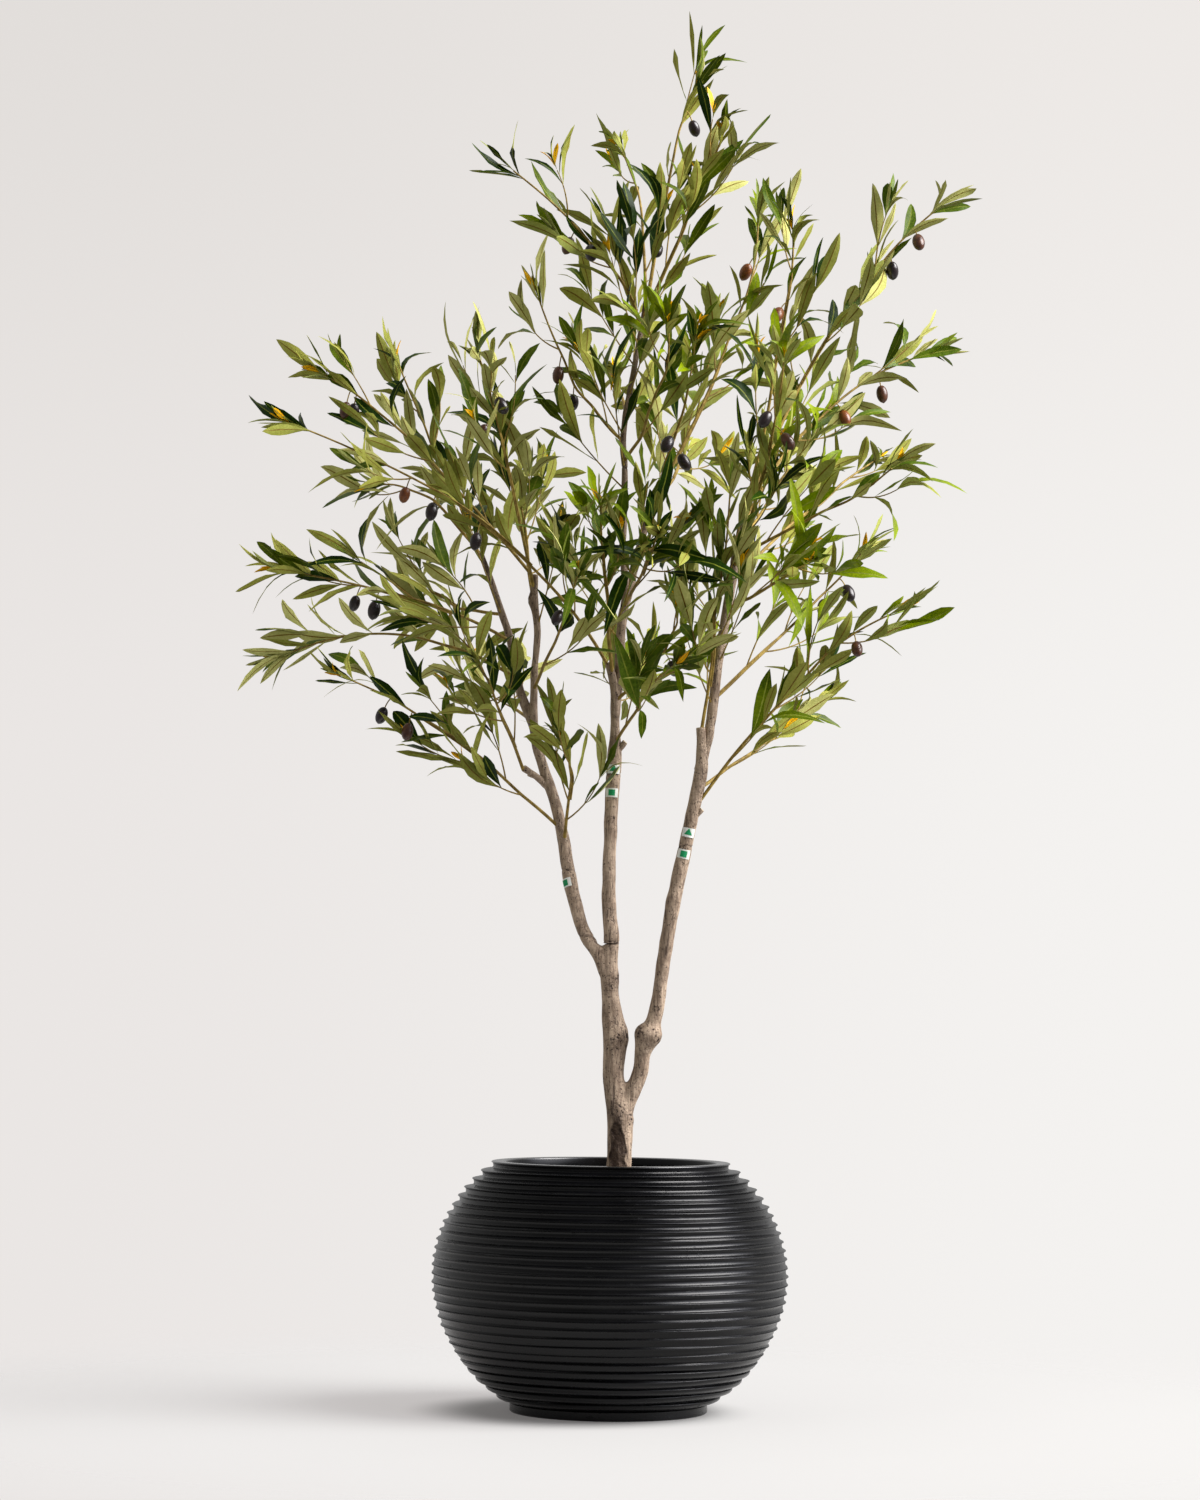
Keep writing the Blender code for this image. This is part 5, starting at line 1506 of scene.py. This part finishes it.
def leaf_mesh(rows):
    """All leaves of a group as closed lenses in one mesh.

    With s along the leaf and t across it from -1 to 1, a point is root + way * L * s + L * s^2 * (curl
    * facing + sway * side - droop * up) + L * s^4 * hook * facing + w(s) * t * across + w(s) * (fold *
    |t| + ripple * t * |t|) * above, where across and above turn by twist * s.  The upper and lower
    faces part by the thickness inside the margin, with the midrib sunk above and raised below, and both
    ends are poles.
    """
    data = np.array(rows)
    root, way, facing = data[:, 0:3], data[:, 3:6], data[:, 6:9]
    length, width, curl, twist, fold, phase, sway, hook, droop, tone = data[:, 9:].T[..., None]
    s, t = LEAF_ROWS, LEAF_COLUMNS
    side = np.cross(way, facing)
    angle = (twist * s)[..., None]
    across = side[:, None] * np.cos(angle) + facing[:, None] * np.sin(angle)
    above = (facing[:, None] * np.cos(angle) - side[:, None] * np.sin(angle))[:, :, None]
    half = np.maximum(width / 2 * leaf_outline(s), STALK_WIDTH / 2)
    arch = length * s ** 2
    spine = (root[:, None] + way[:, None] * (length * s)[..., None]
             + facing[:, None] * (curl * arch + hook * length * s ** 4)[..., None]
             + side[:, None] * (sway * arch)[..., None] - UP * (droop * arch)[..., None])
    ripple = RIPPLE * np.sin(RIPPLE_RATE * s + phase)
    cup = half[..., None] * (fold[..., None] * np.abs(t) + ripple[..., None] * t * np.abs(t))
    sheet = (spine[:, :, None] + across[:, :, None] * (half[..., None] * t)[..., None]
             + above * cup[..., None])
    body = LEAF_THICKNESS / 2 * (1 - np.abs(t))
    midrib = np.abs(t) < MIDRIB_WITHIN
    upper = sheet + above * (body - MIDRIB_SUNK * midrib)[:, None]
    lower = (sheet + above * (-body - MIDRIB_RAISED * midrib)[:, None])[:, :, 1:-1]
    tips = root + (way + facing * (curl + hook) + side * sway - UP * droop) * length
    count = len(data)
    points = np.concatenate([upper.reshape(count, -1, 3), lower.reshape(count, -1, 3), root[:, None],
                             tips[:, None]], axis=1)
    each = points.shape[1]
    faces, kinds = leaf_faces(len(s), len(t))
    mesh = make_mesh(points.reshape(-1, 3), np.zeros((0, 4), int), copies(faces, count, each))
    mesh.polygons.foreach_set("material_index", (tone * 4 + kinds).astype(np.int32).ravel())
    along = np.concatenate([np.repeat(s, len(t)), np.repeat(s, len(t) - 2), [0.0, 1.0]])
    aside = np.concatenate([np.tile(t, len(s)), np.tile(t[1:-1], len(s)), [0.0, 0.0]]) * 0.5 + 0.5
    corners = read(mesh.loops, "vertex_index", 1, np.int32).ravel() % each
    layer = mesh.uv_layers.new(name="leaf")
    layer.data.foreach_set("uv", np.stack([aside, along], -1)[corners].astype(np.float32).ravel())
    return mesh


def olive_mesh(rows):
    """Olives in one mesh, each of radius R and half length H, with the far pole drawn out to a small tip.

    At an angle p from the stalk a ring has radius R * sin(p)^0.9 and lies at -H * cos(p).
    """
    data = np.array(rows)
    centre, way, size, ripe = data[:, 0:3], data[:, 3:6], data[:, 6], data[:, 7].astype(np.int32)
    across = unit(np.cross(guides(way), way))
    above = np.cross(way, across)
    polar = np.linspace(0, np.pi, OLIVE_RINGS + 2)[1:-1]
    radius = np.sin(polar) ** OLIVE_POWER * OLIVE_RADIUS
    along = -np.cos(polar) * OLIVE_LENGTH / 2
    rings = (along[:, None, None] * way[:, None, None]
             + radius[:, None, None] * spokes(OLIVE_SIDES, across, above)[:, None])
    far = (OLIVE_LENGTH / 2 * size)[:, None] * way
    poles = np.stack([centre - far, centre + far * OLIVE_TIP], axis=1)
    mesh = ring_mesh(centre[:, None, None] + rings * size[:, None, None, None], poles)
    quad_count, fan_count = (OLIVE_RINGS - 1) * OLIVE_SIDES, 2 * OLIVE_SIDES
    indices = np.concatenate([np.repeat(ripe, quad_count), np.repeat(ripe, fan_count)])
    mesh.polygons.foreach_set("material_index", indices)
    return mesh


def build_foliage():
    """All sprays, grown group by group, with leaves, stems, twigs and olives as joined pieces."""
    wood = np.vstack([smooth_run(lead)[::4] for lead in LEADS])
    paints = leaf_paints()
    wire = plain_paint("twig_wire", (116, 94, 36), (166, 140, 66), 0.010, 0.55)
    fruit = [plain_paint("olive_black", (22, 15, 18), (40, 26, 26), 0.008, 0.22, 0.6),
             plain_paint("olive_brown", (58, 30, 20), (92, 54, 30), 0.008, 0.25, 0.6),
             plain_paint("olive_amber", (96, 48, 18), (134, 76, 28), 0.010, 0.28, 0.6)]
    olives, stalks = [], []
    for group, (words, slot, lean, tones) in GROUPS.items():
        growth = Growth(wood, lean, tones)
        nodes = []
        for number, (name, row) in enumerate(SPRAYS.items()):
            if name.split("_")[0] in words:
                growth.spray(number, row)
                nodes.append(f"foliage_{name}")
        for number, (lead, *rest) in enumerate(SHOOTS):
            if lead.split("_")[0] in words:
                growth.shoot(number, lead, *rest)
        add_piece(f"leaves_{group}", leaf_mesh(growth.leaves), paints, nodes, sharp=60)
        add_piece(f"stems_{group}", tube_mesh(*zip(*growth.stems), STEM_SIDES), [wire], sharp=60)
        add_piece(f"twigs_{group}", tube_mesh(*zip(*growth.twigs), TWIG_SIDES), [wire], sharp=60)
        olives += growth.olives
        stalks += growth.stalks
    add_piece("olives", olive_mesh(olives), fruit)
    add_piece("olive_stalks", tube_mesh(*zip(*stalks), TWIG_SIDES), [wire], sharp=60)


def build_stage():
    """A pale floor with a glow of painted light, dimmer in a painted shadow round the planter, that turns
    clear far out: no edge shows.
    """
    corners = np.array([[-1, -1, 0], [1, -1, 0], [1, 1, 0], [-1, 1, 0]]) * FLOOR_HALF
    mesh = make_mesh(corners, np.array([[0, 1, 2, 3]]), np.zeros((0, 3), int))
    paint = Paint("floor_pale", 0.1)
    paint.feed("Roughness", 0.8)
    paint.feed("Base Color", FLOOR_COLOUR)
    where = paint.place()
    # Painted shadow: the glow dims near a point just left of the planter's middle
    near = paint.vector("DISTANCE", where, FLOOR_PAINTED_SHADOW_MIDDLE, output="Value")
    paint.feed("Emission Color", paint.mix(near.step(*FLOOR_PAINTED_SHADOW), FLOOR_GLOW_IN_PAINTED_SHADOW, FLOOR_GLOW_OUTSIDE_PAINTED_SHADOW))
    paint.feed("Emission Strength", FLOOR_PAINTED_GLOW)
    far = paint.vector("LENGTH", where, output="Value")
    surface = Wire(paint, paint.surface.outputs[0])
    clear = paint.node("ShaderNodeBsdfTransparent")
    blend = paint.node("ShaderNodeMixShader", None, {0: far.step(*FLOOR_FADE), 1: surface, 2: clear})
    paint.plug(paint.tree.nodes["Material Output"], "Surface", blend)
    mesh.materials.append(paint.material)
    show("floor", mesh)


def build_lights():
    """A pale world that the camera sees lighter, a key lamp on the right and a weak one on the left."""
    world = bpy.data.worlds.new("studio")
    world.use_nodes = True
    bpy.context.scene.world = world
    nodes = Nodes(world.node_tree)
    way = nodes.node("ShaderNodeTexCoord", output="Generated")
    wide = nodes.part(way, 0).step(*BACKDROP_WIDE)
    rows = [nodes.mix(wide, *(colour(*end) for end in row)) for row in (BACKDROP_LOW, BACKDROP_HIGH)]
    seen = nodes.mix(nodes.part(way, 2).step(*BACKDROP_TALL), *rows)
    deep = nodes.mix(nodes.part(way, 1).step(*FILL_SPAN), FILL_FRONT, FILL_BACK)
    turned = nodes.vector("DOT_PRODUCT", way, FILL_WAY, output="Value")
    soft = nodes.mix(turned.step(*FILL_CONE), deep, FILL_RIGHT)
    seen, soft = (nodes.node("ShaderNodeBackground", None, {"Color": tint}) for tint in (seen, soft))
    camera = nodes.node("ShaderNodeLightPath", output="Is Camera Ray")
    both = nodes.node("ShaderNodeMixShader", None, {0: camera, 1: soft, 2: seen})
    nodes.plug(nodes.tree.nodes["World Output"], "Surface", both)
    for name, (watts, place, size) in LAMPS.items():
        lamp = bpy.data.lights.new(name, "AREA")
        lamp.shape = "DISK"
        lamp.size = size
        lamp.energy = watts
        lamp.color = LAMP_COLOUR
        thing = show(name, lamp)
        thing.location = place
        thing.rotation_euler = (Vector(LAMP_AIM) - Vector(place)).to_track_quat("-Z", "Y").to_euler()
        thing.visible_glossy = name == "key"


def build_camera():
    """The photograph's camera, tilted up by its level line's distance from the middle, and rolled."""
    lens = bpy.data.cameras.new("camera")
    lens.sensor_width = SENSOR
    lens.lens = FOCAL_PIXELS / FRAME_PIXELS * SENSOR
    lens.clip_end = FAR_CLIP
    camera = show("camera", lens)
    tilt = math.atan(TILT_PIXELS / FOCAL_PIXELS)
    turn = Matrix.Rotation(math.pi / 2 + tilt, 4, "X") @ Matrix.Rotation(ROLL, 4, "Z")
    camera.matrix_world = Matrix.Translation((CAMERA_ASIDE, -CAMERA_BACK, CAMERA_HEIGHT)) @ turn
    bpy.context.scene.camera = camera


def main():
    """Build the looks."""
    bpy.context.scene.view_settings.view_transform = "Standard"
    build_camera()
    build_lights()
    build_stage()
    build_planter()
    build_filler()
    bark = bark_paint()
    build_trunk(bark)
    build_limbs(bark)
    build_stickers()
    build_foliage()


main()
bpy.context.view_layer.update()
